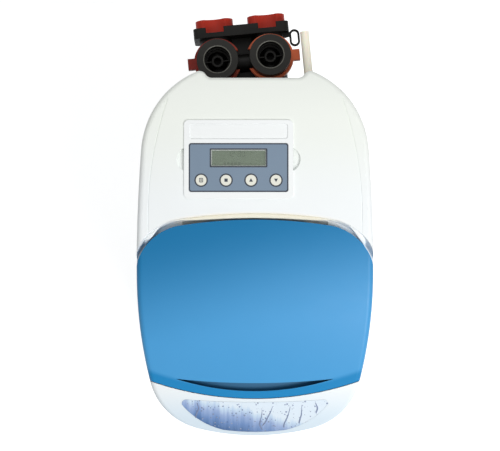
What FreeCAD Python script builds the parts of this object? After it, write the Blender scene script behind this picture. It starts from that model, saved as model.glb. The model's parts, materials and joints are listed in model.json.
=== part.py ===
"""Cabinet water softener, seen from above in the photograph, as an assembly of separate pieces.

Millimetres. X runs to the right seen from the front, Y to the back, Z up. The origin is on the floor, in the
middle of the cabinet. Two groups of pieces have a frame of their own: the panel frame lies in the tilted top
face, and the valve frame stands on the pressure tank's mouth and is turned a few degrees about the tank.
"""
import FreeCAD
import Part
import Sketcher
import math
import os

Vector = FreeCAD.Vector
Rotation = FreeCAD.Rotation

SIZES = (
    # outline of the top cover, from above
    ("cover_width", 330, "widest part of the cover, at its rim"),
    ("cover_depth", 515, "nose to rear shoulders"),
    ("widest_y", -29, "where the sides are widest"),
    ("side_radius", 2500, "slow curve of the sides, rear half"),
    ("front_side_radius", 673, "curve of the sides, front half"),
    ("corner_radius", 133.5, "rear corners"),
    ("corner_back", 122.2, "rear shoulders to the corner's centre"),
    ("nose_corner_radius", 94, "front corners"),
    ("nose_radius", 300, "front end"),
    ("shoulder_radius", 13, "rear shoulders"),
    ("notch_radius", 8, "foot of the rear notch"),
    ("notch_depth", 10, "rear notch behind the shoulders"),
    # side view of the top cover
    ("total_height", 668, "floor to the highest point"),
    ("cover_height", 168, "cover, rim to highest point"),
    ("cover_flare", 3, "how far the sides lean in, rim to top"),
    ("panel_tilt", 3, "slope of the flat top towards the front, degrees"),
    ("rear_round", 160, "radius where the top falls to the back"),
    ("flat_shoulder", 67.5, "rear shoulders to the rear end of the flat top"),
    ("lid_crown", 554, "radius of the lid's slow curve"),
    ("nose_round", 160, "radius of the nose in side view"),
    ("nose_long", 54.5, "length of the nose in side view"),
    ("edge_round", 8, "radius of the top's edge"),
    ("top_wall", 3, "wall of the cover and of its lid"),
    ("groove_x", 145.6, "fine groove beside the panel, front end"),
    ("groove_front", 16, "fine groove, front end"),
    ("groove_rear_x", 120, "fine groove, rear end"),
    ("groove_shoulder", 43.5, "rear shoulders to the rear end of the fine groove"),
    ("groove_radius", 495, "curve of the fine groove"),
    ("groove_width", 1.6, "fine groove"),
    ("groove_depth", 0.8, "fine groove"),
    # cabinet
    ("cabinet_gap", 0.5, "play between the cover and the cabinet"),
    ("cabinet_lap", 12, "how far the cabinet stands up inside the cover"),
    ("cabinet_wall", 3.5, "wall of the cabinet"),
    ("cabinet_floor", 5, "floor of the cabinet"),
    ("cabinet_draft", 1.5, "how far the cabinet leans in, rim to foot"),
    ("plinth_height", 18, "foot of the cabinet"),
    ("plinth_inset", 1.2, "step over the foot"),
    ("neck_left", 92, "rear opening for the pipes, left of the middle"),
    ("neck_right", 94, "rear opening for the pipes, right of the middle"),
    ("neck_down", 60, "highest point to the rear opening's upper edge"),
    ("neck_tall", 138, "height of the rear opening"),
    ("neck_deep", 60, "how far the rear opening reaches in"),
    ("screw_radius", 2, "screws that hold the cover"),
    ("screw_head", 4.2, "their heads"),
    ("screw_up", 6, "cover's rim to the screws"),
    ("screw_long", 13, "cover's side to the tip of a screw"),
    # salt lid
    ("lid_back", 48.6, "rear edge of the lid, in the middle"),
    ("lid_nose", 58.5, "nose to the lid's front edge, in the middle"),
    ("lid_rear_radius", 656, "rear edge from above"),
    ("lid_front_radius", 431, "front edge from above"),
    ("lid_corner_radius", 75, "rear corners from above"),
    ("lid_down", 89.8, "highest point to the lid's lower edge, in front"),
    ("lid_base_tilt", 16.7, "slope of the lid's lower edge, degrees"),
    ("lid_edge", 3.2, "wall of the lid's front and rear edges"),
    ("lid_gap", 1, "play around and under the lid"),
    ("cove_down", 28, "highest point to the foot of the cove round the lid's rear edge"),
    ("cove_gap", 2, "how far the cove stands behind the lid's seat"),
    ("cove", 9, "how far the cove leans back"),
    ("grip_width", 218, "finger grip in the lid"),
    ("grip_far", 22, "lid's front edge to the rear edge of the finger grip, in the middle"),
    ("grip_near", 10.4, "lid's front edge to the front edge of the finger grip, in the middle"),
    ("grip_back_radius", 981, "rear edge of the finger grip, from above"),
    ("grip_front_radius", 353, "front edge of the finger grip, from above"),
    ("grip_floor", 2.4, "floor and sides of the finger grip"),
    ("hinge_y", 38.5, "hinge axis"),
    ("hinge_drop", 6.4, "hinge axis below the top face"),
    ("hinge_spread", 62, "middle to each hinge knuckle"),
    ("hinge_pin", 1.6, "radius of the hinge pins"),
    ("knuckle_radius", 3.1, "hinge knuckles"),
    ("knuckle_width", 22, "hinge knuckles"),
    ("ear_radius", 2.6, "cover's ears beside the knuckles"),
    ("ear_width", 6, "cover's ears"),
    ("ear_front", 4, "hinge axis to the front of an ear's stem"),
    ("ear_back", 1, "hinge axis to the back of an ear's stem"),
    ("web_front", 2, "hinge axis to the front of a knuckle's web"),
    ("trough_radius", 13.6, "hollow that the lid's rear edge turns in, in the middle"),
    ("trough_end", 9, "radius of that hollow at its ends"),
    ("trough_half", 100, "half its length"),
    ("running_gap", 0.3, "play beside and around moving pieces"),
    ("pin_gap", 0.06, "running clearance round a pin"),
    # salt opening
    ("mouth_side", 53, "cover's widest side to the salt opening"),
    ("mouth_back", 8, "rear edge of the salt opening"),
    ("mouth_near", 41, "lid's front edge to the front edge of the salt opening"),
    ("mouth_corner", 34, "corners of the salt opening"),
    ("mouth_lip", 16, "collar under the salt opening"),
    ("bumper_radius", 5, "rubber bumpers under the lid"),
    ("bumper_stem", 2.2, "stem of a bumper"),
    ("bumper_sink", 1.5, "how deep a bumper's head sits in the cover"),
    ("bumper_long", 4, "length of a bumper's stem"),
    ("bumper_x", 80, "middle to each bumper"),
    ("bumper_up", 17, "lid's front edge to each bumper, along the slope"),
    # window in the nose
    ("window_half", 103, "half the width of the window"),
    ("window_far", 49.2, "nose to the ends of the window"),
    ("window_top_far", 56.5, "nose to the ends of the window's upper edge"),
    ("window_corner", 6.5, "width of the window's upper corners"),
    ("window_corner_radius", 6, "window's upper corners"),
    ("window_back_radius", 1208, "upper edge of the window"),
    ("window_low_half", 45, "half the straight part of its lower edge"),
    ("window_near", 10.3, "nose to the ends of that part"),
    ("window_side_radius", 110, "sides of the window"),
    ("window_thick", 1.5, "window plate"),
    ("window_gap", 0.25, "play round the window"),
    # control panel, in its own frame
    ("panel_x", -22.4, "middle of the panel"),
    ("panel_shoulder", 126.8, "rear shoulders to the middle of the panel"),
    ("bezel_width", 149, "bezel"),
    ("bezel_depth", 107.4, "bezel"),
    ("bezel_corner", 6.5, "corners of the bezel"),
    ("bezel_up", 1.8, "how far the bezel stands up"),
    ("bezel_edge", 4.2, "width of the bezel's flange on the cover"),
    ("bezel_plate", 2.7, "top face to the underside of the bezel's plate"),
    ("bezel_wall", 2, "skirt of the bezel"),
    ("bezel_skirt", 16, "depth of the skirt"),
    ("blank_width", 134.4, "plain recess behind the display"),
    ("blank_front", 27.8, "plain recess, front edge"),
    ("blank_back", 48.5, "plain recess, rear edge"),
    ("blank_sink", 1.2, "depth of the plain recess"),
    ("fascia_width", 136, "fascia"),
    ("fascia_front", -44.7, "fascia, front edge"),
    ("fascia_back", 22.2, "fascia, rear edge"),
    ("fascia_corner", 3.5, "corners of the fascia"),
    ("fascia_thick", 1.7, "fascia"),
    ("fascia_sink", 0.3, "fascia below the bezel"),
    ("fit_gap", 0.2, "play round pieces set into others"),
    ("display_width", 78.7, "display"),
    ("display_front", -11, "display, front edge"),
    ("display_back", 14.9, "display, rear edge"),
    ("display_corner", 2, "corners of the display"),
    ("display_edge", 3, "bezel's plate under the display's edge"),
    ("display_deep", 7.3, "depth of the display module"),
    ("button_pitch", 34, "one button to the next"),
    ("button_y", -28.5, "row of buttons"),
    ("button_radius", 7.3, "button caps"),
    ("button_up", 0.8, "how far a button stands above the fascia"),
    ("button_travel", 1.2, "travel of a button"),
    ("button_web", 1, "bezel's plate under a button"),
    ("button_stem", 2, "radius of a button's stem"),
    ("button_foot", 3.6, "radius of the disc that holds a button in"),
    ("button_foot_thick", 1.2, "that disc"),
    ("board_width", 130, "display board"),
    ("board_front", -41, "display board, front edge"),
    ("board_back", 18.7, "display board, rear edge"),
    ("board_thick", 1.6, "display board"),
    ("post_radius", 2.5, "posts that carry the display board"),
    ("post_x", 61, "middle of the panel to the posts"),
    ("post_front", -37.2, "front posts"),
    ("post_back", 15, "rear posts"),
    ("switch_side", 6, "push switches"),
    ("switch_body", 3.4, "height of a push switch"),
    ("back_thick", 2, "plate that closes the panel below"),
    ("notch_reach", 10, "finger notch beside the panel"),
    ("notch_round", 17, "radius of the finger notch"),
    ("notch_sink", 3.2, "depth of the finger notch"),
    # pressure tank
    ("tank_shoulder", 135.5, "rear shoulders to the axis of the pressure tank"),
    ("tank_radius", 101.6, "pressure tank"),
    ("tank_wall", 3, "wall of the tank"),
    ("tank_foot", 14, "floor to the tank"),
    ("tank_flat", 60, "flat bottom of the tank"),
    ("tank_low", 50, "height of the tank's lower dome"),
    ("tank_low_round", 55, "curve of the lower dome"),
    ("tank_down", 221, "highest point to the tank's mouth"),
    ("tank_high", 53, "height of the tank's upper dome"),
    ("tank_high_round", 90, "curve of the upper dome"),
    ("tank_neck", 35, "radius of the tank's neck"),
    ("tank_neck_high", 22, "height of the neck"),
    ("tank_mouth", 31.75, "radius of the tank's mouth"),
    ("boot_wall", 3.4, "wall of the tank's boot"),
    ("boot_height", 55, "height of the boot"),
    ("ring_wall", 4, "ring on the cabinet's floor"),
    ("ring_height", 12, "ring on the cabinet's floor"),
    ("resin_rise", 2, "lower dome to the foot of the resin"),
    ("resin_down", 97, "tank's mouth to the top of the resin"),
    ("riser_radius", 13.3, "riser tube"),
    ("riser_bore", 11, "riser tube"),
    ("riser_foot", 30, "floor to the riser's lower end"),
    ("riser_up", 48, "tank's mouth to the riser's upper end"),
    ("riser_room", 5, "valve's bore above the riser"),
    ("strainer_radius", 22, "strainers"),
    ("strainer_high", 26, "height of the upper strainer"),
)

MORE_SIZES = (
    # control valve, in the valve's frame
    ("valve_yaw", 5.4, "valve and pipes turned about the tank, degrees"),
    ("port_x", 38.1, "middle to each port"),
    ("flange_radius", 44, "valve's foot on the tank"),
    ("flange_thick", 15, "valve's foot on the tank"),
    ("plug_radius", 31, "plug in the tank's mouth"),
    ("plug_deep", 17, "depth of the plug"),
    ("skirt_bore", 36, "skirt round the tank's neck"),
    ("bore_up", 68, "tank's mouth to the piston's axis"),
    ("housing_radius", 24, "piston housing"),
    ("housing_front", -44, "front of the piston housing"),
    ("housing_back", 44, "back of the piston housing"),
    ("bore_radius", 17, "piston bore"),
    ("bore_back", 30, "end of the piston bore"),
    ("seal_bore", 11.3, "seals round the piston"),
    ("seal_window", 8, "openings between the seals"),
    ("seal_first", -34, "first of these openings"),
    ("seal_pitch", 16, "one opening to the next"),
    ("piston_radius", 11, "piston"),
    ("piston_front", -40, "front of the piston, at rest"),
    ("piston_long", 32, "length of the piston"),
    ("waist_long", 6.4, "length of the piston's waist"),
    ("waist_radius", 8, "piston's waist"),
    ("piston_rod", 5, "radius of the piston rod"),
    ("piston_end", -84, "front end of the piston rod"),
    ("rod_gap", 0.06, "running clearance round the piston rod"),
    ("port_up", 53, "tank's mouth to the valve's ports"),
    ("port_radius", 17, "valve's ports"),
    ("port_bore", 10, "bore of the ports and pipes"),
    ("port_end", 60, "rear end of the valve's ports"),
    ("port_start", -12, "front end of the ports' housings"),
    ("body_back", 20, "back of the valve's block"),
    ("body_half_height", 16, "half the height of the valve's block"),
    ("drain_y", 10, "drain outlet"),
    ("drain_up", 73, "tank's mouth to the drain outlet"),
    ("drain_boss", 58, "end of the drain outlet"),
    ("drain_boss_radius", 11, "drain outlet"),
    ("brine_y", -10, "brine inlet"),
    ("brine_boss", -60, "end of the brine inlet"),
    ("brine_boss_radius", 9, "brine inlet"),
    ("brine_bore", 3, "brine inlet"),
    ("injector_y", -26, "injector"),
    ("injector_end", 50, "end of the injector's housing"),
    ("injector_housing", 13, "injector's housing"),
    ("injector_radius", 6, "injector"),
    ("injector_start", 22, "inner end of the injector"),
    ("injector_hole", 1.5, "hole of the injector"),
    ("injector_cap_thick", 7, "cap over the injector"),
    ("slot_deep", 2, "slot in that cap"),
    ("slot_half", 1, "half the width of the slot"),
    ("slot_half_long", 9, "half the length of the slot"),
    # drive
    ("bracket_thick", 8, "drive bracket"),
    ("bracket_half", 48, "half the width of the drive bracket"),
    ("bracket_below", 35, "piston's axis to the lower edge of the drive bracket"),
    ("bracket_above", 61, "piston's axis to the upper edge of the drive bracket"),
    ("bracket_corner", 10, "corners of the drive bracket"),
    ("bracket_boss", 9, "boss that the main gear turns against"),
    ("boss_length", 3.7, "length of that boss"),
    ("gear_module", 1.5, "teeth of the main gear"),
    ("gear_teeth", 36, "main gear"),
    ("gear_width", 9, "main gear"),
    ("gear_hub", 9, "hub of the main gear"),
    ("gear_hub_long", 8, "hub in front of the main gear"),
    ("small_teeth", 12, "small wheel of the reduction gear, and motor pinion"),
    ("wheel_module", 1, "teeth of the large wheel"),
    ("wheel_teeth", 40, "large wheel of the reduction gear"),
    ("wheel_width", 5, "large wheel"),
    ("wheel_space", 1.5, "main gear's layer to the large wheel"),
    ("axle_radius", 2, "axle of the reduction gear"),
    ("axle_past", 3, "end of the axle in front of the wheel"),
    ("motor_radius", 17.5, "motor"),
    ("motor_long", 28, "motor"),
    ("motor_shaft", 1.5, "motor's shaft"),
    ("motor_bore", 8, "bore in the motor"),
    ("shaft_end", 1, "bore's end to the shaft's end"),
    ("motor_lug", 23.5, "motor's axis to the end of its lug"),
    ("motor_lug_half", 5, "half the width of the lug"),
    ("motor_lug_thick", 2, "lug"),
    # pipes from the valve to the bypass
    ("seal_thick", 2, "seals between the valve and the elbow"),
    ("elbow_radius", 15, "elbow"),
    ("elbow_y", 95, "where the elbow goes up"),
    ("tie_half", 3, "half the thickness of the web between its two pipes"),
    ("rotor_up", 45, "valve's ports to the bypass rotors' axes"),
    ("bypass_front", 125, "front of the bypass"),
    ("bypass_back", 203, "back of the bypass"),
    ("bypass_radius", 24, "bypass housings"),
    ("bypass_link", 14, "pipe between the housings"),
    ("bypass_link_bore", 8, "bore of that pipe"),
    ("bypass_web", 8, "thickness of the web between the housings"),
    ("rotor_radius", 17.7, "bypass rotors"),
    ("rotor_front", 135, "front end of the rotors' bores"),
    ("rotor_bore", 9, "way through a rotor"),
    ("rotor_shaft", 6, "shafts of the rotors"),
    ("plate_half", 69.5, "half the width of the rear plate"),
    ("plate_half_high", 26, "half the height of the rear plate"),
    ("plate_thick", 7, "rear plate, behind the knobs"),
    ("plate_deep", 15, "rear plate, with the posts beside the knobs"),
    ("knob_room", 29, "hollows of the rear plate that the knobs turn in"),
    ("plate_corner", 8, "corners of the rear plate"),
    ("knob_front", 213, "front of the knobs"),
    ("knob_back", 233, "back of the knobs"),
    ("knob_half", 27.5, "half the length of a knob"),
    ("knob_lobe", 11.5, "half the thickness of a knob's lobes"),
    ("knob_waist", 7.5, "half the thickness of a knob's waist"),
    ("knob_lobe_x", 15, "middle of a lobe"),
    ("knob_dip", 28.5, "radius of the hollow at the waist"),
    ("knob_bulge", 13.2, "radius of a lobe's end"),
    ("knob_hub", 9, "hub of a knob"),
    ("knob_deep", 19, "how deep a shaft goes into its knob"),
    ("union_y", 165, "axes of the upright ports"),
    ("union_neck", 22, "upright ports' necks"),
    ("union_up", 50, "rotors' axes to the top of the upright ports"),
    ("union_high", 17, "height of a union ring"),
    ("union_radius", 29.7, "union rings"),
    ("union_lip", 3, "lip of a union ring"),
    ("union_bore", 19, "bore of the upright ports"),
    ("union_deep", 13, "depth of that bore"),
    ("hub_seat", 17.6, "bore round the hubs"),
    ("union_through", 15, "bore below that floor"),
    ("clip_radius", 34, "locking clips"),
    ("clip_thick", 8.7, "locking clips"),
    ("clip_tab", 43, "end of a clip's tab"),
    ("clip_root", 2, "how far the tab reaches into the clip"),
    ("clip_tab_half", 8, "half the width of a clip's tab"),
    ("clip_mouth_half", 14, "half the opening of a clip"),
    ("hub_radius", 8.5, "hub in each upright port"),
    ("hub_hole", 5.5, "hole of that hub"),
    ("hub_high", 7, "height of that hub"),
    ("spoke_half", 1, "half the width of the hub's spokes"),
    ("spoke_high", 5, "height of the spokes"),
    ("guide_x", 77, "cable guide"),
    ("guide_y", 194, "cable guide"),
    ("guide_up", 11, "rotors' axes to the cable guide"),
    ("guide_half", 7.5, "half the width of the cable guide"),
    ("guide_half_long", 12.5, "half the length of the cable guide"),
    ("guide_corner", 7.35, "corners of the cable guide"),
    ("guide_stroke", 3, "thickness of the cable guide"),
    ("guide_lug", 60, "start of the cable guide's lug"),
    ("guide_lug_wide", 7, "cable guide's lug"),
    # drain and brine
    ("drain_x", 90, "drain tube"),
    ("drain_rise", 70, "drain outlet to the drain tube"),
    ("drain_radius", 6.25, "drain tube"),
    ("drain_bore", 4.2, "drain tube"),
    ("drain_elbow_radius", 9, "drain elbow"),
    ("drain_start", 22, "where the drain tube starts, in the elbow"),
    ("drain_socket", 30, "front end of the drain elbow"),
    ("drain_end", 194, "free end of the drain tube"),
    ("drain_stop", 25, "free end of the drain tube to its stop mark"),
    ("stop_width", 1, "stop mark on the drain tube"),
    ("stop_depth", 0.3, "stop mark on the drain tube"),
    ("brine_x", -70, "brine elbow"),
    ("brine_elbow_radius", 8, "brine elbow"),
    ("brine_elbow_down", 20, "valve's ports to the lower end of the brine elbow"),
    ("line_radius", 4.75, "brine line"),
    ("line_bore", 3.25, "brine line"),
    ("line_down", 32, "valve's ports to the brine line's level run"),
    ("line_end", 12, "valve's ports to the upper end of the brine line"),
    ("well_side", 67, "cover's widest side to the axis of the brine well"),
    ("well_y", -5, "brine well"),
    ("well_radius", 45, "brine well"),
    ("well_wall", 3, "brine well"),
    ("well_up", 43, "tank's mouth to the top of the brine well"),
    ("line_room", 1, "notch in the well's edge round the brine line"),
    ("well_slot", 4, "radius of the holes at the well's foot"),
    ("well_slot_low", 22, "floor to the lowest of these holes"),
    ("well_slot_pitch", 14, "one hole to the next"),
    ("cap_thick", 4, "cap of the brine well"),
    ("cap_plug", 6, "plug of the cap"),
    ("cap_edge", 2, "edge of the cap past the well"),
    ("cap_handle", 14, "half the length of the cap's handle"),
    ("cap_handle_half", 3, "half the thickness of that handle"),
    ("cap_handle_high", 12, "height of that handle"),
    ("foot_radius", 18, "foot of the brine valve"),
    ("foot_high", 25, "foot of the brine valve"),
    ("stem_radius", 12, "body of the brine valve"),
    ("stem_top", 66, "floor to the top of the brine valve"),
    ("stem_socket", 10, "depth of the brine line in the brine valve"),
    ("float_x", 24, "brine line to the float's rod"),
    ("arm_down", 16, "brine valve's top to the underside of the arm that holds the float's rod"),
    ("arm_high", 8, "height of that arm"),
    ("arm_half", 5, "half the width of that arm"),
    ("float_rod", 2.5, "float's rod"),
    ("float_stop", 5, "radius and height of the collar under the float"),
    ("float_rod_end", 60, "brine well's top to the top of the float's rod"),
    ("float_radius", 14, "float"),
    ("float_z", 240, "floor to the float, at rest"),
    ("float_long", 45, "float"),
    # salt grid
    ("grid_top", 66, "floor to the top of the salt grid"),
    ("grid_thick", 5, "salt grid"),
    ("grid_inset", 12.4, "cover's outline to the salt grid"),
    ("grid_gap", 1.5, "salt grid round the boot and the well"),
    ("grid_pitch", 24, "one slot to the next"),
    ("grid_slot", 4, "half the width of a slot"),
    ("grid_slot_long", 42, "length of a slot"),
    ("grid_nose", 51.5, "nose to the first row of slots"),
    ("grid_row", 56, "one row of slots to the next"),
    ("leg_radius", 6, "legs of the salt grid"),
    ("leg_side", 57, "cover's widest side to the legs of the salt grid"),
    ("leg_nose", 107.5, "nose to the front legs of the salt grid"),
    ("leg_shoulder", 52.5, "rear shoulders to the rear legs of the salt grid"),
    # overflow and power cable inlet
    ("overflow_x", -40, "overflow"),
    ("overflow_down", 70, "cover's rim to the overflow"),
    ("overflow_radius", 10, "overflow spigot"),
    ("overflow_bore", 7.5, "overflow spigot"),
    ("overflow_flange", 14, "flange of the overflow"),
    ("overflow_flange_thick", 3.5, "flange of the overflow"),
    ("overflow_out", 13, "wall to the overflow's spout"),
    ("overflow_drop", 37, "height of the overflow's elbow and spigot"),
    ("overflow_long", 22, "length of its spigot"),
    ("overflow_step", 2, "elbow thicker than its spigot"),
    ("overflow_past", 2, "overflow's inner end past its nut"),
    ("nut_radius", 16, "nut of the overflow"),
    ("nut_thick", 7, "nut of the overflow"),
    ("grommet_x", 40, "power cable inlet"),
    ("grommet_down", 60, "cover's rim to the power cable inlet"),
    ("grommet_radius", 7, "power cable inlet"),
    ("grommet_flange", 10, "flange of the power cable inlet"),
    ("grommet_thick", 3, "flange of the power cable inlet"),
    ("seat_gap", 0.1, "play of the fittings on the leaning wall"),
    ("grommet_bore", 3.5, "hole of the power cable inlet"),
)


class Dim:
    """A number together with the expression that gives it from the sheet."""

    def __init__(self, number, text):
        self.number = float(number)
        self.text = text

    def _make(self, other, sign, number, swap=False):
        text = other.text if isinstance(other, Dim) else repr(float(other))
        left, right = (text, self.text) if swap else (self.text, text)
        return Dim(number, "(%s %s %s)" % (left, sign, right))

    def __float__(self):
        return self.number

    def __add__(self, other):
        return self._make(other, "+", self.number + float(other))

    def __radd__(self, other):
        return self._make(other, "+", float(other) + self.number, True)

    def __sub__(self, other):
        return self._make(other, "-", self.number - float(other))

    def __rsub__(self, other):
        return self._make(other, "-", float(other) - self.number, True)

    def __mul__(self, other):
        return self._make(other, "*", self.number * float(other))

    def __rmul__(self, other):
        return self._make(other, "*", float(other) * self.number, True)

    def __truediv__(self, other):
        return self._make(other, "/", self.number / float(other))

    def __neg__(self):
        return self * -1.0


def root(dim):
    """Square root of a Dim."""
    return Dim(math.sqrt(dim.number), "sqrt(%s)" % dim.text)


def sine(dim):
    """Sine of a Dim in degrees."""
    return Dim(math.sin(math.radians(dim.number)), "sin(%s)" % dim.text)


def cosine(dim):
    """Cosine of a Dim in degrees."""
    return Dim(math.cos(math.radians(dim.number)), "cos(%s)" % dim.text)


class Sizes:
    """The driving dimensions as Dims, by name."""


# how far a form that cuts or joins reaches past the face it meets
PAST = 1.0
# the same above the cover's top
CLEAR = 4.0
# the same where the form is large or slanted
WIDE = 20.0

doc = FreeCAD.newDocument("softener")
sheet = doc.addObject("Spreadsheet::Sheet", "Sizes")
s = Sizes()
for row, (alias, number, note) in enumerate(SIZES + MORE_SIZES, 1):
    sheet.set("A%d" % row, str(number))
    sheet.setAlias("A%d" % row, alias)
    sheet.set("B%d" % row, note)
    setattr(s, alias, Dim(number, "Sizes." + alias))
doc.recompute()


def flat_z(y):
    """Height of the flat top at a place along Y."""
    drop = s.rear_round * (1 - cosine(s.panel_tilt))
    fall = (s.flat_back - y) * sine(s.panel_tilt) / cosine(s.panel_tilt)
    return s.total_height - drop - fall


# places that follow from the sizes
s.rim_height = s.total_height - s.cover_height
s.neck_high = s.total_height - s.neck_down
s.neck_low = s.neck_high - s.neck_tall
s.lid_base = s.total_height - s.lid_down
s.cove_foot = s.total_height - s.cove_down
s.mouth_half = s.cover_width / 2 - s.mouth_side
nose_y = s.cover_depth / -2
s.nose_back = nose_y + s.nose_long
s.lid_front = nose_y + s.lid_nose
s.grip_back = s.lid_front + s.grip_far
s.grip_front = s.lid_front + s.grip_near
s.mouth_front = s.lid_front + s.mouth_near
s.window_ends = nose_y + s.window_far
s.window_top = nose_y + s.window_top_far
s.window_low = nose_y + s.window_near
shoulder_y = s.cover_depth / 2
s.flat_back = shoulder_y - s.flat_shoulder
s.panel_y = shoulder_y - s.panel_shoulder
s.hinge_z = flat_z(s.lid_back) - s.hinge_drop
s.groove_rear = shoulder_y - s.groove_shoulder
s.tank_y = shoulder_y - s.tank_shoulder
s.tank_top = s.total_height - s.tank_down
s.resin_top = s.tank_top - s.resin_down
s.riser_top = s.tank_top + s.riser_up
s.bore_z = s.tank_top + s.bore_up
s.port_z = s.tank_top + s.port_up
s.drain_z = s.tank_top + s.drain_up
s.drain_tube_z = s.drain_z + s.drain_rise
s.bracket_low = s.bore_z - s.bracket_below
s.bracket_high = s.bore_z + s.bracket_above
s.rotor_z = s.port_z + s.rotor_up
s.union_top = s.rotor_z + s.union_up
s.union_low = s.union_top - s.union_high
s.guide_z = s.rotor_z + s.guide_up
s.brine_elbow_low = s.port_z - s.brine_elbow_down
s.line_z = s.port_z - s.line_down
s.line_top = s.port_z - s.line_end
s.well_x = s.well_side - s.cover_width / 2
s.well_top = s.tank_top + s.well_up
s.float_rod_top = s.well_top - s.float_rod_end
s.leg_x = s.cover_width / 2 - s.leg_side
s.leg_front = nose_y + s.leg_nose
s.leg_back = shoulder_y - s.leg_shoulder
s.grid_front = nose_y + s.grid_nose
s.overflow_z = s.rim_height - s.overflow_down
s.grommet_z = s.rim_height - s.grommet_down

parts = []


# Building blocks


def bind(obj, prop, size):
    """Ties a property to the sheet where its size is a Dim."""
    if isinstance(size, Dim):
        obj.setExpression(prop, size.text)
    elif "." in prop:
        obj.setExpression(prop, repr(float(size)))
    else:
        setattr(obj, prop, size)


def move_to(obj, x, y, z):
    """Puts an object's own origin at a point."""
    for letter, size in zip("xyz", (x, y, z)):
        bind(obj, "Placement.Base." + letter, size)


def block(name, x, y, z):
    """A box from its low and high sides along each axis."""
    box = doc.addObject("Part::Box", name)
    for prop, (low, high) in zip(("Length", "Width", "Height"), (x, y, z)):
        bind(box, prop, high - low)
    move_to(box, x[0], y[0], z[0])
    return box


TURNS = {
    "X": Rotation(Vector(0, 1, 0), 90),
    "Y": Rotation(Vector(1, 0, 0), -90),
    "Z": Rotation(),
}


def along(obj, axis, at, start):
    """Turns a round primitive onto an axis and moves it to its place."""
    obj.Placement = FreeCAD.Placement(Vector(), TURNS[axis])
    places = list(at)
    places.insert("XYZ".index(axis), start)
    move_to(obj, *places)
    return obj


def rod(name, axis, at, span, radius):
    """A round bar along an axis; at holds the other two coordinates."""
    bar = doc.addObject("Part::Cylinder", name)
    bind(bar, "Radius", radius)
    bind(bar, "Height", span[1] - span[0])
    return along(bar, axis, at, span[0])


def fuse(name, *shapes):
    """Several solids as one."""
    joined = doc.addObject("Part::MultiFuse", name)
    joined.Shapes = list(shapes)
    joined.Refine = True
    return joined


def cut(name, base, *tools):
    """A solid less one or more others."""
    rest = doc.addObject("Part::Cut", name)
    rest.Base = base
    rest.Tool = tools[0] if len(tools) == 1 else fuse(name + "_tools", *tools)
    rest.Refine = True
    return rest


def common(name, *shapes):
    """What several solids share."""
    shared = doc.addObject("Part::MultiCommon", name)
    shared.Shapes = list(shapes)
    shared.Refine = True
    return shared


def tube(name, axis, at, span, outer, inner):
    """A round bar with a bore right through it."""
    bore = rod(name + "_bore", axis, at, (span[0] - PAST, span[1] + PAST), inner)
    return cut(name, rod(name + "_wall", axis, at, span, outer), bore)


def new_body(name):
    """An empty body."""
    return doc.addObject("PartDesign::Body", name)


def origin_feature(body, role):
    """One of a body's own origin planes or axes."""
    return next(f for f in body.Origin.OriginFeatures if f.Role == role)


def new_sketch(body, name, plane, height=0):
    """A sketch on one of the body's origin planes, lifted along its normal."""
    sketch = body.newObject("Sketcher::SketchObject", name)
    sketch.AttachmentSupport = [(origin_feature(body, plane), "")]
    sketch.MapMode = "FlatFace"
    bind(sketch, "AttachmentOffset.Base.z", height)
    return sketch


def constrain(sketch, kind, *places, size=None):
    """Adds a constraint, and ties its size to the sheet."""
    if size is None:
        sketch.addConstraint(Sketcher.Constraint(kind, *places))
        return
    index = sketch.addConstraint(Sketcher.Constraint(kind, *places, float(size)))
    if isinstance(size, Dim):
        sketch.setExpression("Constraints[%d]" % index, size.text)


def arc_centre(start, end, radius):
    """Centre of an arc through two points; a positive radius turns left on the way."""
    middle = (start + end) * 0.5
    chord = end - start
    rise = math.sqrt(max(radius * radius - chord.Length**2 / 4, 0.0))
    left = Vector(-chord.y, chord.x, 0).normalize()
    return middle + left * math.copysign(rise, radius)


def draw(sketch, points):
    """A closed outline. A point is (x, y), or (x, y, radius) where an arc leads to it from the last one."""
    places = [Vector(float(p[0]), float(p[1]), 0) for p in points]
    for index, point in enumerate(points):
        start, end = places[index - 1], places[index]
        if len(point) == 2:
            sketch.addGeometry(Part.LineSegment(start, end))
            continue
        centre = arc_centre(start, end, float(point[2]))
        a, b = (start, end) if float(point[2]) > 0 else (end, start)
        first = math.atan2(a.y - centre.y, a.x - centre.x)
        last = math.atan2(b.y - centre.y, b.x - centre.x)
        circle = Part.Circle(centre, Vector(0, 0, 1), abs(float(point[2])))
        sketch.addGeometry(Part.ArcOfCircle(circle, first, last))
    for index, point in enumerate(points):
        follower = (index + 1) % len(points)
        # an arc's first end is where it turns left from, so a right-hand arc runs backwards
        out = 1 if len(point) == 3 and float(point[2]) < 0 else 2
        into = 2 if len(points[follower]) == 3 and float(points[follower][2]) < 0 else 1
        constrain(sketch, "Coincident", index, out, follower, into)
        constrain(sketch, "DistanceX", -1, 1, index, out, size=point[0])
        constrain(sketch, "DistanceY", -1, 1, index, out, size=point[1])
        if len(point) == 3:
            radius = point[2] if float(point[2]) > 0 else -point[2]
            constrain(sketch, "Radius", index, size=radius)
    solved = sketch.solve()
    if solved != 0:
        raise RuntimeError("sketch %s does not solve: %d" % (sketch.Name, solved))
    return sketch


def turned(name, points):
    """A turned piece about Z; the points are (radius, height)."""
    body = new_body(name)
    sketch = draw(new_sketch(body, name + "_profile", "XZ_Plane"), points)
    spin = body.newObject("PartDesign::Revolution", name + "_spin")
    spin.Profile = sketch
    spin.ReferenceAxis = (origin_feature(body, "Z_Axis"), [""])
    spin.Angle = 360
    return body


def plate(name, points, span, plane="XY_Plane"):
    """An outline padded along its plane's normal."""
    body = new_body(name)
    sketch = draw(new_sketch(body, name + "_outline", plane, span[0]), points)
    pad = body.newObject("PartDesign::Pad", name + "_pad")
    pad.Profile = sketch
    bind(pad, "Length", span[1] - span[0])
    return body


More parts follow.
